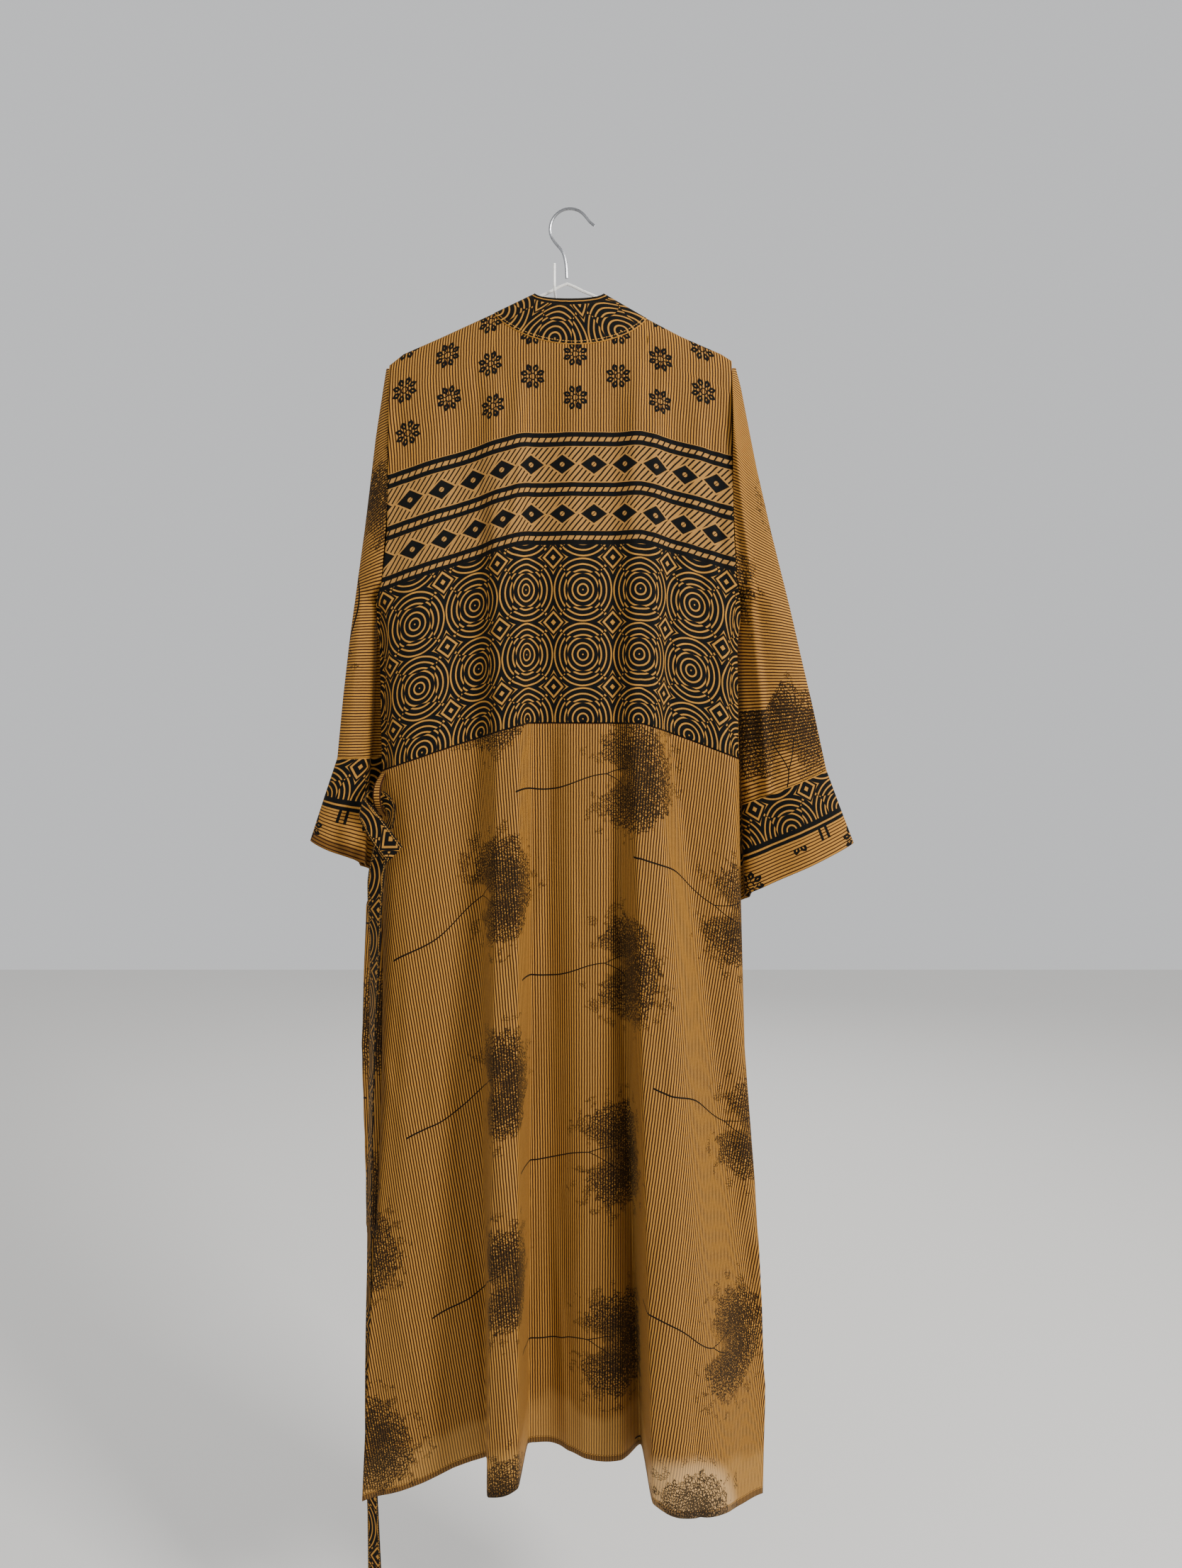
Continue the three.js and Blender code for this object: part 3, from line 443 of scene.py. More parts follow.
def arc_from(x, out, anchor):
    """Length along each row of a grid, from where the row passes the anchor's x."""
    steps = np.hypot(np.diff(x, axis=1), np.diff(out, axis=1))
    s = np.concatenate([np.zeros((len(x), 1)), np.cumsum(steps, axis=1)], axis=1)
    zero = np.array([np.interp(anchor, x[i, 5:-5], s[i, 5:-5]) for i in range(len(x))])
    return s - zero[:, None]


x, out, z, u, w = upper_back()
out = out + soft_creases(u, w, 3, 54, 2.0) * ease((w - 40) / 60)
hang("robe_back_upper", (x, out, z), (u, w), 0.9)


# %% Lower back
def lower_back():
    parts = np.linspace(0, 1, 261)
    grid = []
    for w in np.linspace(WAIST, HEM, 166):
        x, out, u = back_row(w, parts)
        z = -w - drop_at(x, w, sides_at(w))
        grid.append((x, out, z, u, 0 * x + w))
    return (np.array([row[k] for row in grid]) for k in range(5))


x, out, z, u, w = lower_back()
out = out + soft_creases(u, w, 8, 84, 2.6) * ease((w - WAIST) / 60)
hang("robe_back_lower", (x, out, z), (u, w), 0.9, leaves=LEAVES_BACK)


# %% [markdown]
# ## The fronts and their band
# The two fronts hang behind the back, towards the wall, and lap over each other. A doubled band
# runs down each front edge and round the neck. The fronts' rows are as level as the hem's.

# %% Fronts
def front_seam_x(z, side):
    edge = FRONT_EDGE[side]
    t = share((edge["top_z"] - z) / (edge["top_z"] - FRONT_CROSS))
    return lerp(edge["top"], edge["waist"], 1 - (1 - t) ** 1.5)


FIRST_ROWS = np.array([0, 0.8, 1.6, 2.5, 3.6, 4.8, 6, 9, 12, 16, 22, 30, 40])
TOP_DOWN = over_shoulder(FIRST_ROWS[-1])[1]


def column_z(top_z, hem_x, t):
    """The height of a column of a front, t of the way down from its top rows to the hem."""
    return lerp(top_z - TOP_DOWN, -HEM - drop_at(hem_x, HEM, sides_at(HEM)), t)


def front_panel(side):
    sign = -1 if side == "left" else 1
    parts = np.linspace(0, 1, 131)
    top_side, hem_side = sides_at(TOP_W)[side], sides_at(HEM)[side]
    top_x = lerp(top_side, FRONT_EDGE[side]["top"], parts)
    hem_x = lerp(hem_side, FRONT_EDGE[side]["waist"], parts)
    grid = []
    for a in FIRST_ROWS:
        z = shoulder_z(top_x) - over_shoulder(a)[1]
        x = lerp(top_side, front_seam_x(z, side), parts)
        grid.append((x, HANG_PLANE - out_below(shoulder_z(x) - z), z))
    for t in np.linspace(0, 1, 241)[1:]:
        height = column_z(shoulder_z(top_x), hem_x, t)
        side_x = read(SIDES, "z", height[0], side)
        seam_x = front_seam_x(height[-1], side)
        swell = read(SIDES, "z", height[0], "swell" if side == "left" else "sliver")
        w = -height[-1]

        def height_at(x):
            return np.interp(share((x - side_x) / (seam_x - side_x)), parts, height)

        def out_of(x):
            return front_out(x, w, height_at(x), side)

        outer = (side_x, True, closed_at(height[0]), swell)
        inner = (seam_x, False, 0, 0)
        seam_out = HANG_PLANE - 0.9 * share(swell / 8)
        ends = (outer, inner) if sign < 0 else (inner, outer)
        where = parts if sign < 0 else 1 - parts
        row_x, row_out, _ = spread(row_line(*ends, out_of, seam_out), where, 0)
        grid.append((row_x, row_out, height_at(row_x)))
    x, out, z = (np.array([row[k] for row in grid]) for k in range(3))
    flat_w = -z - drop_at(x, -z, sides_at(-z))
    if sign > 0:
        return x, out, z, arc_from(x[:, ::-1], out[:, ::-1], 150)[:, ::-1], flat_w
    return x, out, z, arc_from(x, out, -130), flat_w


for side, seed in (("left", 21), ("right", 22)):
    x, out, z, u, w = front_panel(side)
    out = out - soft_creases(u, w, seed, 60, 1.2) * ease((w - 60) / 60)
    hang(f"robe_front_{side}", (x, out, z), (u, w), 0.9, side == "left", LEAVES_FRONT)


# %% Front bands
def front_band(side):
    edge = FRONT_EDGE[side]
    parts = np.linspace(0, 1, 25)
    top_x = lerp(edge["top"], COLLAR_TOP[side], parts)
    top_z = shoulder_z(top_x)
    grid = []
    for a in FIRST_ROWS:
        z = top_z - over_shoulder(a)[1]
        x = front_seam_x(z + edge["top_z"] - top_z, side) + top_x - edge["top"]
        grid.append((x, HANG_PLANE - out_below(shoulder_z(x) - z), z))
    for t in np.linspace(0, 1, 241)[1:]:
        z = column_z(top_z, 0 * top_x, t)
        x = front_seam_x(z + edge["top_z"] - top_z, side) + top_x - edge["top"]
        grid.append((x, front_out(x, -z, z, side), z))
    x, out, z = (np.array([row[k] for row in grid]) for k in range(3))
    run = np.hypot(np.diff(x.mean(1)), np.diff(z.mean(1)))
    length = np.append(0, np.cumsum(run))[:, None] + 0 * x
    return x, out, z, length, parts * 51 + 0 * x


for side in ("left", "right"):
    x, out, z, u, w = front_band(side)
    hang(f"robe_front_band_{side}", (x, out, z), (u, w), 1.8, turned=side == "left")


# %% [markdown]
# ## The neck band
# The band stands up a little behind the neck, and ends on the shoulder seams.

# %% Neck band
def neck_band():
    turned = (1 - np.cos(np.linspace(0, math.pi, 121))) / 2
    seam_x = lerp(NECK["left"], NECK["right"], turned)
    top_x = lerp(COLLAR_TOP["left"], COLLAR_TOP["right"], turned)
    low_z, high_z = bowl(seam_x, NECK)[0], bowl(top_x, COLLAR_TOP)[0]
    grid = []
    for down in np.linspace(0, 1, 25):
        x = lerp(top_x, seam_x, down)
        z = lerp(high_z, low_z, down)
        stand = 3 * (1 - down) * np.sin(math.pi * turned)
        out = HANG_PLANE + out_below(np.maximum(0, shoulder_z(x) - z)) + stand
        run = np.append(0, np.cumsum(np.hypot(np.diff(seam_x), np.diff(low_z))))
        grid.append((x, out, z, run - run.mean(), 0 * x + down * 51))
    return (np.array([row[k] for row in grid]) for k in range(5))


x, out, z, u, w = neck_band()
hang("robe_neck_band", (x, out, z), (u, w), 1.8)

# %% [markdown]
# ## Sleeves and cuffs
# A sleeve is a folded rectangle. It hangs beside the body from its armhole, and below the
# underarm it turns and lies behind the body. Each row is a section from the back of the inner
# edge, round the outer fold, to the front.

# %% Sleeve sections
TUCK_HALF = 3


def sleeve_rows(*rows):
    names = ("outer_x", "outer_z", "inner_z", "half", "turn_x", "inner_x", "inner_out")
    return [dict(zip(names, row)) for row in rows]


SLEEVES = {
    "left": sleeve_rows(
        (-191, -84, -85, 3),
        (-194, -102, -100, 8),
        (-204, -160, -155, 13),
        (-218, -262, -240, 14),
        (-229, -335, -328, 12),
        (-231, -350, -346, 10, -209, -200, 24),
        (-234, -368, -362, 9, -210, -199, 12),
        (-238, -394, -388, 8, -213, -190, 8),
        (-246, -455, -455, 7, -217, -176, 8),
        (-254, -526, -525, 6, -222, -166, 8),
    ),
    "right": sleeve_rows(
        (205, -83, -85, 3),
        (211, -104, -100, 8),
        (230, -196, -170, 13),
        (248, -270, -245, 14),
        (268, -345, -328, 13),
        (272, -361, -346, 11, 214, 206, 24),
        (276, -377, -364, 10, 215, 206, 12),
        (282, -402, -392, 9, 217, 200, 8),
        (297, -462, -470, 9, 219, 190, 8),
        (315, -540, -602, 9, 222, 186, 8),
    ),
}
CUFFS = {
    "left": sleeve_rows(
        (-254, -526, -525, 6, -222, -166, 8),
        (-270, -572, -600, 9, -226, -162, 8),
        (-287, -622, -690, 12, -230, -160, 8),
    ),
    "right": sleeve_rows(
        (315, -540, -602, 9, 222, 186, 8),
        (331, -582, -660, 11, 224, 184, 8),
        (348, -625, -718, 13, 227, 182, 8),
    ),
}


SPAN_POINTS = 60  # points between two knots of a smooth route


def smooth_route(points, count, even=True):
    """A smooth line through points, as many places long as count, evenly spaced if asked."""
    p = np.array(points, float)
    p = np.vstack([2 * p[0] - p[1], p, 2 * p[-1] - p[-2]])
    route = []
    for k in range(1, len(p) - 2):
        steps = np.linalg.norm(np.diff(p[k - 1:k + 3], axis=0), axis=1) ** 0.5
        knots = np.append(0, np.cumsum(steps))
        t = np.linspace(knots[1], knots[2], SPAN_POINTS, endpoint=k == len(p) - 3)[:, None]
        level = [p[k - 1 + i] for i in range(4)]
        for width in (1, 2, 3):
            level = [
                (level[i] * (knots[i + width] - t) + level[i + 1] * (t - knots[i]))
                / (knots[i + width] - knots[i])
                for i in range(4 - width)
            ]
        route.append(level[0])
    route = np.vstack(route)
    run = np.linalg.norm(np.diff(route, axis=0), axis=1) if even else np.ones(len(route) - 1)
    s = np.append(0, np.cumsum(run))
    at = np.linspace(0, s[-1], count)
    return np.stack([np.interp(at, s, column) for column in route.T], axis=1), s[-1]


def sleeve_section(row, sign, side, part):
    """One row of a sleeve: x, out, z and the length across from the outer fold."""
    arm_x = read(SIDES, "z", row["inner_z"], side) + sign * 0.3
    tucked = "turn_x" in row
    if tucked:
        outer, turn, inner, end = row["outer_x"], row["turn_x"], row["inner_x"], row["inner_out"]
        spine, length = smooth_route([
            (outer, HANG_PLANE),
            (lerp(outer, turn, 0.8), HANG_PLANE),
            (turn, lerp(HANG_PLANE, end, 0.3)),
            (turn, lerp(HANG_PLANE, end, 0.75)),
            (lerp(turn, inner, 0.25) - sign * 2, end),
            (inner, end),
        ], 400)
    else:
        spine, length = smooth_route([(row["outer_x"], HANG_PLANE), (arm_x, HANG_PLANE)], 400)
    turned = math.pi * (part - 0.5)
    t = share(1 - np.cos(turned))
    where = t * 399
    at = np.stack([np.interp(where, np.arange(400), spine[:, k]) for k in (0, 1)], axis=1)
    ahead = np.gradient(spine, axis=0)
    ahead = ahead / np.linalg.norm(ahead, axis=1)[:, None]
    tangent = np.stack([np.interp(where, np.arange(400), ahead[:, k]) for k in (0, 1)], axis=1)

    def rounded(v):
        return np.sqrt(1 - (1 - share(v)) ** 2)

    if tucked:
        turn_at = 0.8 * abs(row["outer_x"] - row["turn_x"]) / length
        half = lerp(row["half"], TUCK_HALF, ease(2 * t / turn_at - 1))
        half = half * rounded(2 * t / turn_at) * np.sqrt(np.maximum(0, 1 - t**8))
    else:
        arm_half = out_below(shoulder_z(arm_x) - row["inner_z"])
        half = lerp(row["half"], arm_half, ease(t)) * rounded(t)
    off = sign * np.sign(turned) * (half + (0.15 * ease(2 * t - 1) if tucked else 0))
    x = at[:, 0] - tangent[:, 1] * off
    out = at[:, 1] + tangent[:, 0] * off
    return x, out, lerp(row["outer_z"], row["inner_z"], t), np.sign(turned) * t * length


def sleeve_grid(rows, side, count, columns):
    sign = -1 if side == "left" else 1
    part = np.linspace(0, 1, columns)
    sections = np.array([sleeve_section(row, sign, side, part) for row in rows])
    fold = np.array([(row["outer_x"], row["outer_z"]) for row in rows], float)
    length = np.append(0, np.cumsum(np.linalg.norm(np.diff(fold, axis=0), axis=1)))
    wanted = np.linspace(0, length[-1], count)
    grid = np.empty((4, count, columns))
    for k in range(4):
        for j in range(columns):
            grid[k, :, j] = np.interp(wanted, length, sections[:, k, j])
    for _ in range(6):
        grid[:3, 1:-1] = (grid[:3, :-2] + 2 * grid[:3, 1:-1] + grid[:3, 2:]) / 4
    return *grid[:3], grid[3], wanted[:, None] + np.zeros((count, columns))


for side, seed in (("left", 31), ("right", 32)):
    x, out, z, across, along = sleeve_grid(SLEEVES[side], side, 190, 161)
    fold = across + 12 + along * 0.12
    ridge = 5 * np.exp(-((fold / 5) ** 2)) - 3 * ease(-fold / 8) * (across < 0)
    out = out + soft_creases(across, along, seed, 34, 1.5) + ridge * ease(along / 60)
    flat = (along, across)
    hang(f"robe_sleeve_{side}", (x, out, z), flat, 0.9, side == "left", LEAVES_SLEEVE[side])
    x, out, z, across, along = sleeve_grid(CUFFS[side], side, 60, 161)
    hang(f"robe_cuff_{side}", (x, out, z), (along, across), 0.9, turned=side == "left")

# %% [markdown]
# ## Belt and loop
# The belt goes through a narrow loop on the left side seam. Its short end lies on the outside,
# and the long end hangs straight down past the hem. Both are strips along a smooth route.

# %% Belt and loop
BELT = dict(
    x=[-182, -198, -212, -219, -215, -206, -196, -187, -190, -199, -207, -209, -213, -217, -222,
       -225, -228, -228, -225, -223],
    out=[78, 82, 81, 74, 66, 62, 63.5, 67, 68, 66, 63, 61, 60, 57, 48, 43, 41, 40, 43, 46],
    z=[-634, -610, -588, -578, -571, -571, -573, -584, -601, -624, -668, -730, -830, -930, -1040,
       -1140, -1250, -1360, -1450, -1560],
    span_x=[9, 9, 7, 3, 3, 3, 2, 4, 5, 9, 10, 8, 5, 4, 3, 3, 4, 6, 7, 9],
    span_out=[1, 0, 1, 2, 0, 0, 1, 2, 3, 3, 4, 8, 9, 8, 5, 3, 2, 2, 3, 2],
    span_z=[9, 9, 9, 9, 9, 9, 9, 6] + [0] * 12,
)


def strip(table, count, columns, width):
    """A flat strip: its middle line, and its half width in each direction."""
    middle = np.stack([table["x"], table["out"], table["z"]], axis=1)
    rows = len(middle)
    route, length = smooth_route(middle, count, even=False)
    knots = np.linspace(0, rows - 1, count)
    spans = [np.interp(knots, np.arange(rows), table[k]) for k in ("span_x", "span_out", "span_z")]
    side = np.linspace(-1, 1, columns)
    places = [route[:, k, None] + side * spans[k][:, None] for k in range(3)]
    run = np.append(0, np.cumsum(np.linalg.norm(np.diff(route, axis=0), axis=1)))
    return places, (run[:, None] + 0 * places[0], side * width / 2 + 0 * places[0])


places, flat = strip(BELT, 420, 9, 22)
hang("robe_belt", places, flat, 1.6)

stand = np.sin(math.pi * np.linspace(0, 1, 5)) ** 0.7
LOOP = dict(
    x=lerp(-198.2, -203, stand),
    out=lerp(52, 72, stand),
    z=np.linspace(-543, -592, 5),
    span_x=lerp(3.2, 4.5, stand),
    span_out=lerp(3.2, 0, stand),
    span_z=0 * stand,
)
places, flat = strip(LOOP, 40, 5, 10.4)
hang("robe_belt_loop_left", places, flat, 1.4)

# %% [markdown]
# ## Prints as sums of shader nodes
# The real cloth is printed with fine stripes, leafy bushes, flowers, a diamond border and rings.
# An image could hold such a print, but it would blur close up. Here every print is worked out
# from the place in the flat cloth: u across and w down, in millimetres. A small class lets
# shader nodes be added and multiplied like numbers, so that a print reads as a formula.

# %% Fields
def paint(red, green, blue):
    """A colour given as a screen shows it, 0 to 255, as the linear colour that shaders use."""
    parts = [c / 255 for c in (red, green, blue)]
    return (*[c / 12.92 if c < 0.04 else ((c + 0.055) / 1.055) ** 2.4 for c in parts], 1)


class Field:
    """A number that varies over the cloth: the output of a shader node."""

    def __init__(self, tree, socket):
        self.tree = tree
        self.socket = socket

    def node(self, kind, *values, **settings):
        made = self.tree.nodes.new(kind)
        for key, value in settings.items():
            setattr(made, key, value)
        for place, value in zip(made.inputs, values):
            if isinstance(value, Field):
                self.tree.links.new(value.socket, place)
            else:
                place.default_value = value
        return made

    def math(self, operation, *others):
        made = self.node("ShaderNodeMath", self, *others, operation=operation)
        return Field(self.tree, made.outputs[0])

    def __add__(self, other):
        return self.math("ADD", other)

    def __sub__(self, other):
        return self.math("SUBTRACT", other)

    def __mul__(self, other):
        return self.math("MULTIPLY", other)

    def __truediv__(self, other):
        return self.math("DIVIDE", other)

    def __abs__(self):
        return self.math("ABSOLUTE")

    def over(self, edge, soft=0.25):
        """1 where the value is over the edge and 0 under it, with a soft step."""
        made = self.node("ShaderNodeMapRange", self, edge - soft, edge + soft, 0, 1)
        made.interpolation_type = "SMOOTHSTEP"
        return Field(self.tree, made.outputs[0])

    def under(self, edge, soft=0.25):
        return self.over(edge, soft) * -1 + 1

    def between(self, low, high, soft=0.25):
        return self.over(low, soft) * self.under(high, soft)

    def sine(self):
        return self.math("SINE")

    def or_more(self, other):
        return self.math("MAXIMUM", other)


# %% Patterns that repeat
def far(a, b):
    """The length of the way (a, b)."""
    return (a * a + b * b).math("SQRT")


def lines(v, pitch, width, soft=0.2):
    """Lines across v, one for each pitch."""
    return abs((v / pitch).math("FRACT") - 0.5).under(width / pitch / 2, soft / pitch)


def nearest(v, start, pitch):
    """How far v is from the nearest of start, start + pitch and so on, and which one that is."""
    count = ((v - start) / pitch + 0.5).math("FLOOR")
    return v - start - count * pitch, count


def place_of(u, w, size):
    return u.node("ShaderNodeCombineXYZ", u / size, w / size)


def clouds(u, w, size, detail=2.0):
    """Soft random values from about -0.5 to 0.5, with blots about as large as size."""
    made = u.node("ShaderNodeTexNoise", noise_dimensions="2D")
    made.inputs["Scale"].default_value = 1
    made.inputs["Detail"].default_value = detail
    u.tree.links.new(place_of(u, w, size).outputs[0], made.inputs["Vector"])
    return Field(u.tree, made.outputs[0]) - 0.5


def cell_walls(u, w, size):
    """How far a point is from the walls of small uneven cells, in cells."""
    made = u.node("ShaderNodeTexVoronoi", voronoi_dimensions="2D", feature="DISTANCE_TO_EDGE")
    made.inputs["Scale"].default_value = 1
    u.tree.links.new(place_of(u, w, size).outputs[0], made.inputs["Vector"])
    return Field(u.tree, made.outputs[0])


# %% Rings
GRID = 73  # millimetres from centre to centre
RING_STEP = 6.35  # one dark and one light ring


def rings(u, w):
    """Rings round the corners of a square grid, in the colours of a swap.

    Each point takes its ring from the nearest centre, and dark and light change places wherever
    the point also lies within three quarters of a grid step of another centre.
    """
    at_u = (u / GRID).math("FRACT") * GRID
    at_w = (w / GRID).math("FRACT") * GRID
    swaps, closest = None, None
    for du in (at_u, at_u - GRID):
        for dw in (at_w, at_w - GRID):
            r = far(du, dw)
            swap = r.under(GRID * 0.75, 0.12) * -2 + 1
            swaps = swap if swaps is None else swaps * swap
            closest = r if closest is None else closest.math("MINIMUM", r)
    wave = ((closest - 1.6) * (2 * math.pi / RING_STEP)).sine()
    ring = (wave * swaps * -1).over(-0.66, 0.16)
    d = abs(at_u - GRID / 2) + abs(at_w - GRID / 2)
    diamond = d.between(3.2, 10)
    return (ring * d.over(16)).or_more(diamond).or_more(d.between(13, 16.2))


# %% Flowers and the diamond border
def flowers(u, w, across, down, start_u, start_w, last):
    """Round flowers with eight petals, every second column half a step lower, down to last."""
    du, column = nearest(u, start_u, across)
    odd = (column / 2).math("FRACT")
    dw, _ = nearest(w - odd * down, start_w, down)
    r = far(du, dw)
    turn = dw.math("ARCTAN2", du) / (math.pi / 4)
    off = (turn.math("FRACT") - 0.5) * (math.pi / 4)
    along, aside = r * off.math("COSINE") - 10, r * off.sine()
    centre = w - dw
    leaf = (abs(aside) / 3.3 + along * along / 22).under(1, 0.1)
    eye = far((along + 0.4) / 1.4, aside / 0.6).over(1, 0.2)
    stalk = abs(aside).under(0.6, 0.15) * r.between(4, 6.5)
    shape = (leaf * eye).or_more(stalk).or_more(abs(r - 3.4).under(0.7, 0.2))
    return shape * centre.under(last, 1)


def border(u, w):
    """Double lines with slanting ticks, and between them two rows of diamonds."""
    ticks = lines(u + w * 0.6, 7.6, 2)
    ink = None
    for top in (159.5, 214.8, 268.6):
        pair = w.between(top - 0.4, top + 5).or_more(w.between(top + 9.6, top + 15))
        pair = pair.or_more(w.between(top, top + 14.6) * ticks)
        ink = pair if ink is None else ink.or_more(pair)
    slanting = lines(u * 0.766 + w * 0.643, 5, 1.7)
    for middle in (194.3, 249):
        du, _ = nearest(u, -23.3, 35.8)
        d = abs(du) / 13.6 + abs(w - middle) / 9.8
        hole = far(du / 2.7, (w - middle) / 2.6).under(1, 0.08) * abs(du + (w - middle)).over(0.5)
        diamond = d.under(1.1, 0.03) * (hole * -1 + 1)
        ground = slanting * d.over(1.3, 0.03) * w.between(middle - 19, middle + 19)
        ink = ink.or_more(diamond).or_more(ground)
    return ink


# %% Leafy bushes
def leafy_bush(right, below, u, w):
    """One bush of many small leaf outlines, with loose sprays round it and a bent stem."""
    rough = clouds(u, w, 9, 4) * 0.7
    upper = far((right - 8) / 46, (below + 24) / 38)
    lower = far((right - 12) / 50, (below - 26) / 40)
    core = far((right - 24) / 38, below / 44)
    notch = far((right + 46) / 36, below / 17).under(1, 0.3) * 0.5
    reach = upper.math("MINIMUM", lower).math("MINIMUM", core) + rough + notch
    full = reach.under(0.95, 0.04)
    spray = reach.between(0.8, 1.42, 0.04) * clouds(u + 40, w, 16, 3).over(0.05, 0.02)
    middle = reach.under(0.5, 0.4)
    turn, out = below.math("ARCTAN2", right + 14), far(right + 14, below)
    leaf_turn = turn * 38 + clouds(u, w, 6) * 5
    leaf_out = out * 0.6 + clouds(u + 30, w, 6) * 3
    leaf_walls = cell_walls(leaf_turn, leaf_out, 2.1)
    fine = cell_walls(turn * 40 + clouds(u, w, 5) * 5, out * 0.8, 2.2)
    net = (leaf_walls - middle * 0.16 - 0.1).under(0.06, 0.04) * full
    lace = (fine - 0.04).under(0.09, 0.05) * spray
    bend = below - 3 - right * right * 0.0007 - (right * 0.05).sine() * 6
    fork = abs(abs(bend) - (right + 30).or_more(0) * 0.42)
    stem = (fork - (right * -1).or_more(0) * 0.004).under(0.5, 0.25) * right.between(-150, 2)
    return net.or_more(lace * 0.8), stem


# %% [markdown]
# ## Cloth materials
# The ground is an ochre cotton whose colour varies a little from thread to thread. Each print
# is a list of inks, laid on one after another. The weave is a fine bump of two sets of threads
# with slubs, thicker stretches that real yarn has. Sheen gives the soft light edge of thin
# cloth, and it is set on the shader's own socket because it is the same all over.

# %% Cloth material
OCHRE = paint(173, 126, 62)
TAN = paint(164, 119, 60)
BLACK = paint(4, 5, 5)
BROWN = paint(46, 20, 6)
LEAF_INK = paint(9, 6, 4)
THREAD = paint(190, 138, 62)
WEAVE = 0.42  # millimetres from thread to thread


def mix_in(colour, field, tint):
    """Lays a tint over a colour where the field is 1. A colour is a socket or four numbers."""
    made = field.node("ShaderNodeMix", data_type="RGBA")
    made.clamp_factor = True
    field.tree.links.new(field.socket, made.inputs[0])
    for place, value in ((made.inputs[6], colour), (made.inputs[7], tint)):
        if isinstance(value, tuple):
            place.default_value = value
        else:
            field.tree.links.new(value, place)
    return made.outputs[2]


def flat_place(tree, layer):
    """Fields of the place in the flat cloth, in millimetres, from a UV map in metres."""
    source = tree.nodes.new("ShaderNodeUVMap")
    source.uv_map = layer
    parts = tree.nodes.new("ShaderNodeSeparateXYZ")
    tree.links.new(source.outputs[0], parts.inputs[0])
    return Field(tree, parts.outputs[0]) * 1000, Field(tree, parts.outputs[1]) * 1000


def cloth_material(name, prints, ground=OCHRE, leaves=False):
    """Woven cloth. prints(u, w) gives the inks as (field, colour), the lowest first."""
    material = bpy.data.materials.new(name)
    material.use_nodes = True
    tree = material.node_tree
    shader = tree.nodes["Principled BSDF"]
    u, w = flat_place(tree, "flat_cloth")
    tone = clouds(u, w, 130, 3) * 0.9 + clouds(u, w * 0.16, 2.2, 2) * 0.5
    colour = mix_in(ground, (tone + 0.5).between(0.1, 2, 0.5) * 0.30, paint(206, 142, 34))
    colour = mix_in(colour, (clouds(u * 0.16, w, 2.4, 2) + 0.5) * 0.25, paint(122, 70, 10))
    wobbled = (u + clouds(u, w, 12) * 0.6, w + clouds(u + 70, w, 12) * 0.6)
    for field, ink in prints(*wobbled):
        colour = mix_in(colour, field, ink)
    if leaves:
        net, stem = leafy_bush(*flat_place(tree, "leaf_print"), u, w)
        colour = mix_in(mix_in(colour, stem, LEAF_INK), net * 0.9, LEAF_INK)
    tree.links.new(colour, shader.inputs["Base Color"])
    threads = (u * (2 * math.pi / WEAVE)).sine() * (w * (2 * math.pi / WEAVE)).sine()
    slubs = clouds(u, w * 0.08, 0.9, 1) + clouds(u * 0.08, w, 0.9, 1)
    rumple = clouds(u, w, 14, 3)
    bump = tree.nodes.new("ShaderNodeBump")
    bump.inputs["Strength"].default_value = 0.5
    bump.inputs["Distance"].default_value = 0.0006
    height = threads * 0.12 + slubs * 0.35 + rumple * 2.2
    tree.links.new(height.socket, bump.inputs["Height"])
    tree.links.new(bump.outputs[0], shader.inputs["Normal"])
    rough = (clouds(u, w, 6, 2) * 0.16) + 0.74
    tree.links.new(rough.socket, shader.inputs["Roughness"])
    shader.inputs["Sheen Weight"].default_value = 0.07
    shader.inputs["Sheen Tint"].default_value = paint(255, 214, 150)
    shader.inputs["Sheen Roughness"].default_value = 0.45
    shader.inputs["Specular IOR Level"].default_value = 0.12
    print(f"{name}: {len(tree.nodes)} nodes")
    return material


def sewn(v, at, run, step=3.2):
    """A row of stitches along run, at one value of v."""
    return abs(v - at).under(0.32, 0.15) * lines(run, step, step * 0.62)


# %% Prints of each piece
PIN_BODY = 3.1
PIN_SLEEVE = 3.3


def upper_back_print(u, w):
    stripes = lines(u, PIN_BODY, 1.45) * w.under(158.6)
    flower = flowers(u, w, 48.3, 49, -8.3, 23, 130)
    ring = rings(u * (GRID / 68.5), w - 334) * w.over(283.3)
    return [
        (stripes, BROWN),
        (w.between(158.6, 284), TAN),
        (flower.or_more(border(u, w)).or_more(ring), BLACK),
        (abs(w - WAIST).under(1.2), BLACK),
    ]


def lower_back_print(u, w):
    # Painted light: the cloth near the hem, and more so in one lobe of it, is painted paler, as
    # light shining through the single thin layer would make it.
    painted_light_at_hem = (w + clouds(u, w, 90) * 50).over(1304, 10) * 0.18
    painted_light_on_lobe = far((u - 226) / 82, (w - 1378) / 86).under(1, 0.12) * 0.34
    return [
        (lines(u, PIN_BODY, 1.45), BROWN),
        (painted_light_at_hem, paint(206, 160, 92)),
        (painted_light_on_lobe, paint(228, 192, 142)),
        (w.over(HEM - 8, 0.4) * 0.62, BROWN),
        (sewn(w, HEM - 7, u), THREAD),
        (abs(w - WAIST).under(0.8), BROWN),
    ]


def front_print(u, w):
    hem = w.over(HEM - 8, 0.4) * 0.5
    return [(lines(u, PIN_BODY, 1.45), BROWN), (hem, BROWN), (sewn(w, HEM - 7, u), THREAD)]


def sleeve_print(along, across):
    return [(lines(along, PIN_SLEEVE, 1.45), BROWN)]


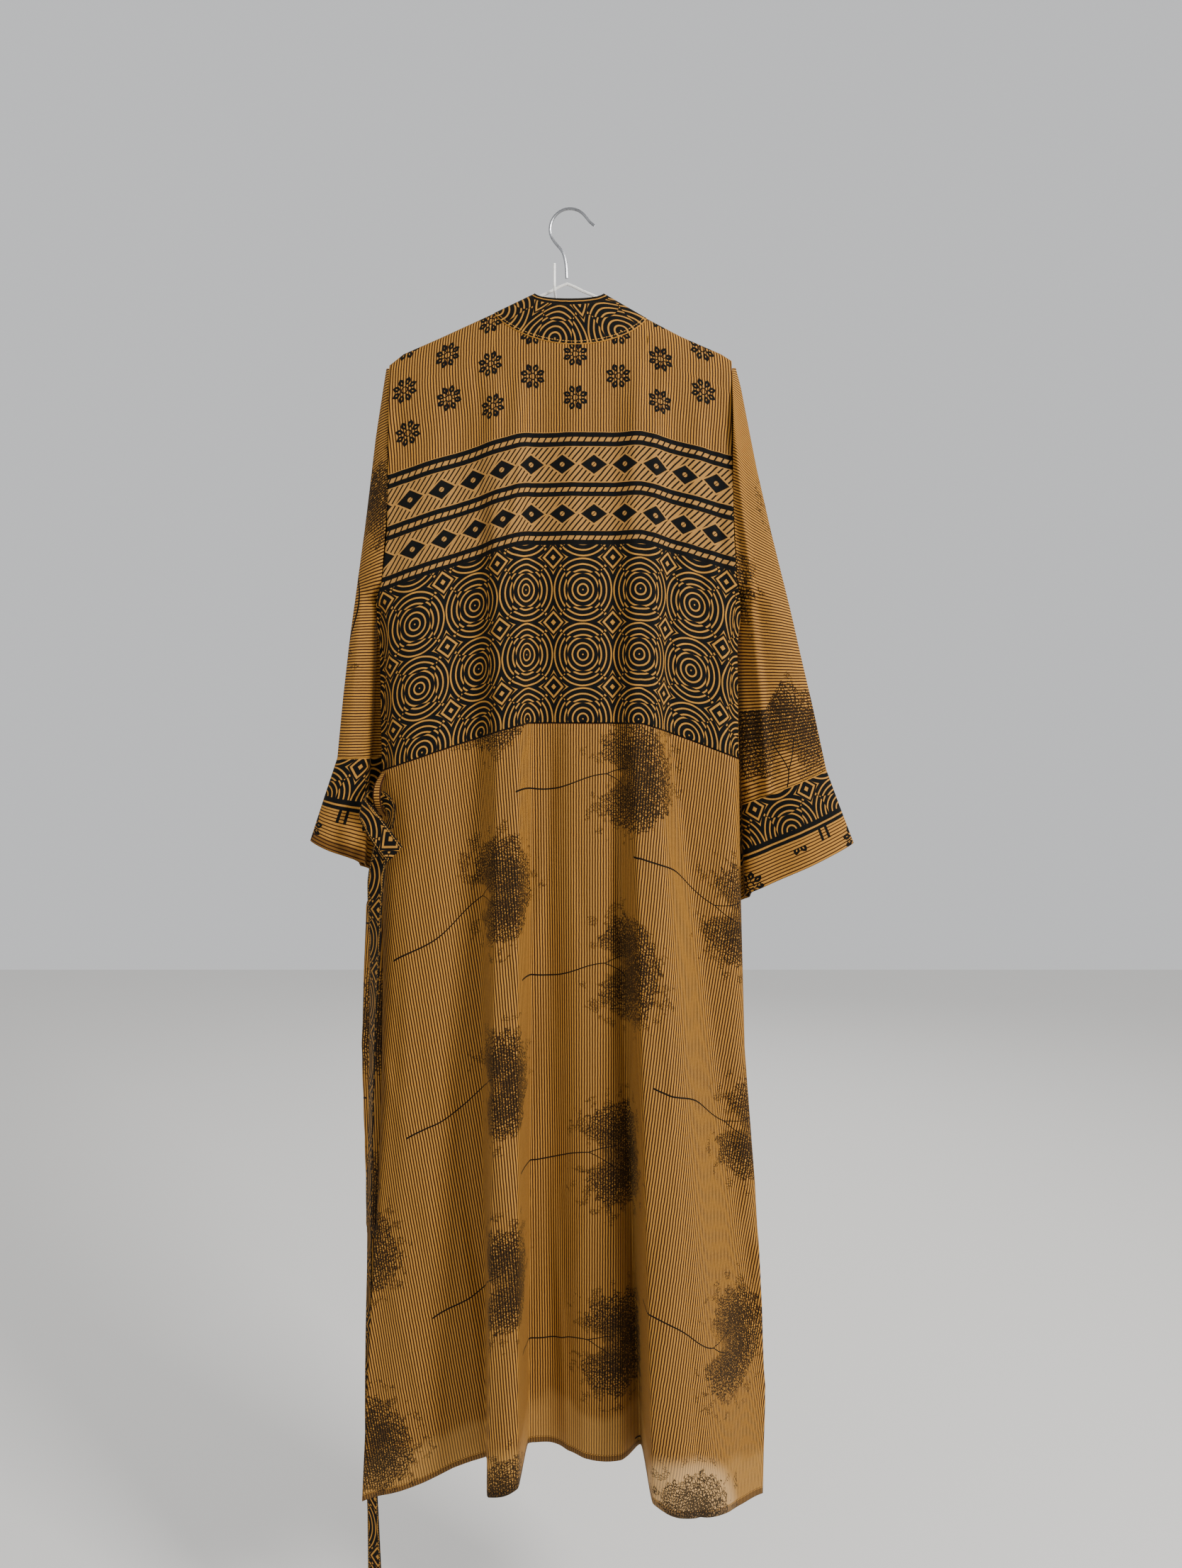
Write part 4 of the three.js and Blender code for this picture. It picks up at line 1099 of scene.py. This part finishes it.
def cuff_print(along, across):
    ring = rings(across * (GRID / 57), along - 46) * along.between(1, 46)
    bars = along.between(45.4, 51).or_more(along.between(53, 57))
    bars = bars.or_more(abs(abs(across + 27) - 3.6).under(1.5) * along.between(56, 71))
    stripes = lines(along, 3.6, 1.3) * along.over(59)
    flower = flowers(across, along, 60, 49, 4, 84, 100) * along.over(66)
    edge = along.over(90.5) * 0.6
    return [
        (stripes, BROWN),
        (ring.or_more(bars).or_more(flower), BLACK),
        (edge, BROWN),
        (sewn(along, 86, across), THREAD),
    ]


def collar_print(run, down):
    ring = rings((run - 22) * (GRID / 80) + GRID / 2, (down - 46) * 0.95) * down.between(7, 50)
    edge = down.under(2.6).or_more(down.between(3.8, 7.2))
    return [(ring.or_more(edge), BLACK), (sewn(down, 47.4, run), THREAD)]


def band_print(length, across):
    ring = rings(length, across - 46) * across.between(7, 50)
    edge = across.under(2.6).or_more(across.between(3.8, 7.2))
    return [(ring.or_more(edge), BLACK), (sewn(across, 47.4, length), THREAD)]


def belt_print(run, across):
    ring = rings(run + 20, across + 30)
    seams = sewn(abs(across), 9.4, run)
    return [(ring, BLACK), (abs(across).over(8.2) * 0.75, BLACK), (seams, THREAD)]


def loop_print(run, across):
    return [(lines(run, 3.2, 1.4), BROWN), (abs(across).over(3.6), BROWN)]


materials = {
    "back_upper": cloth_material("printed_back", upper_back_print),
    "back_lower": cloth_material("striped_back", lower_back_print, leaves=True),
    "front": cloth_material("striped_front", front_print, leaves=True),
    "sleeve": cloth_material("striped_sleeve", sleeve_print, leaves=True),
    "cuff": cloth_material("ring_cuff", cuff_print, TAN),
    "neck_band": cloth_material("ring_collar", collar_print, TAN),
    "front_band": cloth_material("ring_band", band_print, TAN),
    "belt": cloth_material("ring_belt", belt_print, TAN),
    "belt_loop": cloth_material("striped_loop", loop_print, TAN),
}

# %% [markdown]
# ## Wires
# The hanger is steel wire with a white coat, its crook is bare, and the wall hook is enamelled.
# Their solids have the right shape already, so they stay and only get better materials, with
# specks and a slightly uneven gloss worked out from object coordinates.

# %% Wire materials
def wire_material(name, colour, dirt, metallic, gloss, size):
    material = bpy.data.materials.new(name)
    material.use_nodes = True
    tree = material.node_tree
    shader = tree.nodes["Principled BSDF"]
    shader.inputs["Metallic"].default_value = metallic
    place = tree.nodes.new("ShaderNodeTexCoord")
    speck = tree.nodes.new("ShaderNodeTexNoise")
    speck.inputs["Scale"].default_value = size
    speck.inputs["Detail"].default_value = 4
    tree.links.new(place.outputs["Object"], speck.inputs["Vector"])
    blots = Field(tree, speck.outputs[0])
    tree.links.new(mix_in(colour, blots.over(0.62, 0.08) * 0.5, dirt), shader.inputs["Base Color"])
    tree.links.new((blots * 0.25 + gloss).socket, shader.inputs["Roughness"])
    bump = tree.nodes.new("ShaderNodeBump")
    bump.inputs["Strength"].default_value = 0.2
    bump.inputs["Distance"].default_value = 0.0002
    tree.links.new(blots.socket, bump.inputs["Height"])
    tree.links.new(bump.outputs[0], shader.inputs["Normal"])
    return material


WIRES = {
    "hanger": wire_material("white_coat", paint(236, 234, 228), paint(196, 190, 178), 0, 0.22, 240),
    "crook": wire_material("bare_wire", paint(150, 151, 154), paint(96, 94, 90), 1, 0.2, 420),
    "wall_hook": wire_material("enamel", paint(240, 239, 234), paint(205, 200, 190), 0, 0.2, 300),
}
for node, material in WIRES.items():
    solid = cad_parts[node]
    solid.data.materials.clear()
    solid.data.materials.append(material)
    print(node, "gets", material.name)

# %% [markdown]
# ## What the cloth is
# Each piece rides on the robe's one body and stands for its CAD node. The size it was cut to is
# worked out and printed. The flat map gives that size, because it is in metres.

# %% Bodies, slots and cuts
def cut_of(piece):
    """Width, length and area of the flat cloth, from its UV map."""
    layer = piece.data.uv_layers["flat_cloth"].data
    flat = np.empty(len(layer) * 2)
    layer.foreach_get("uv", flat)
    flat = flat.reshape(-1, 4, 2)
    one, two = flat[:, 2] - flat[:, 0], flat[:, 3] - flat[:, 1]
    area = abs(one[:, 0] * two[:, 1] - one[:, 1] * two[:, 0]).sum() / 2
    width, length = np.ptp(flat.reshape(-1, 2), axis=0)
    return float(width), float(length), float(area)


for name, piece in cloth.items():
    node = name.removeprefix("robe_")
    kind = node.removesuffix("_left").removesuffix("_right")
    piece.data.materials.append(materials[kind])
    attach(piece, "root")
    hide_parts(node)
    width, length, area = cut_of(piece)
    area = min(area, width * length)
    print(f"{node}: {width * 1000:.0f} by {length * 1000:.0f} mm, {area:.3f} square metres")

# %% [markdown]
# ## Room and light
# A plain pale floor under the robe, and soft studio light: a large lamp on the right and in
# front, which leaves the left side of each flute in soft shade, and a weak one on the left.

# %% Floor and lamps
def matt(name, colour):
    material = bpy.data.materials.new(name)
    material.use_nodes = True
    shader = material.node_tree.nodes["Principled BSDF"]
    shader.inputs["Base Color"].default_value = colour
    shader.inputs["Roughness"].default_value = 0.9
    return material


floor_mesh = bmesh.new()
bmesh.ops.create_grid(floor_mesh, x_segments=1, y_segments=1, size=4)
mesh = bpy.data.meshes.new("floor")
floor_mesh.to_mesh(mesh)
floor_mesh.free()
floor = bpy.data.objects.new("floor", mesh)
floor.location = (0, 0, -1.75)
floor.data.materials.append(matt("pale_floor", paint(226, 224, 220)))
bpy.context.scene.collection.objects.link(floor)


def lamp(name, at, aim, size, power, colour=(1, 1, 1)):
    data = bpy.data.lights.new(name, "AREA")
    data.size = size
    data.energy = power
    data.color = colour
    thing = bpy.data.objects.new(name, data)
    thing.location = at
    thing.rotation_euler = (Vector(aim) - Vector(at)).to_track_quat("-Z", "Y").to_euler()
    bpy.context.scene.collection.objects.link(thing)


lamp("key", (2.1, -1.9, 0.9), (0, 0, -0.7), 0.7, 118, (1, 0.985, 0.96))
lamp("fill", (-2.2, -2.2, 0.2), (0, 0, -0.7), 2.0, 8, (0.96, 0.98, 1))
lamp("back", (0.4, 2.4, 0.6), (0, 0, -0.7), 2.0, 30)

world = bpy.data.worlds.new("studio")
world.use_nodes = True
world.node_tree.nodes["Background"].inputs[0].default_value = paint(250, 251, 253)
world.node_tree.nodes["Background"].inputs[1].default_value = 0.74
bpy.context.scene.world = world
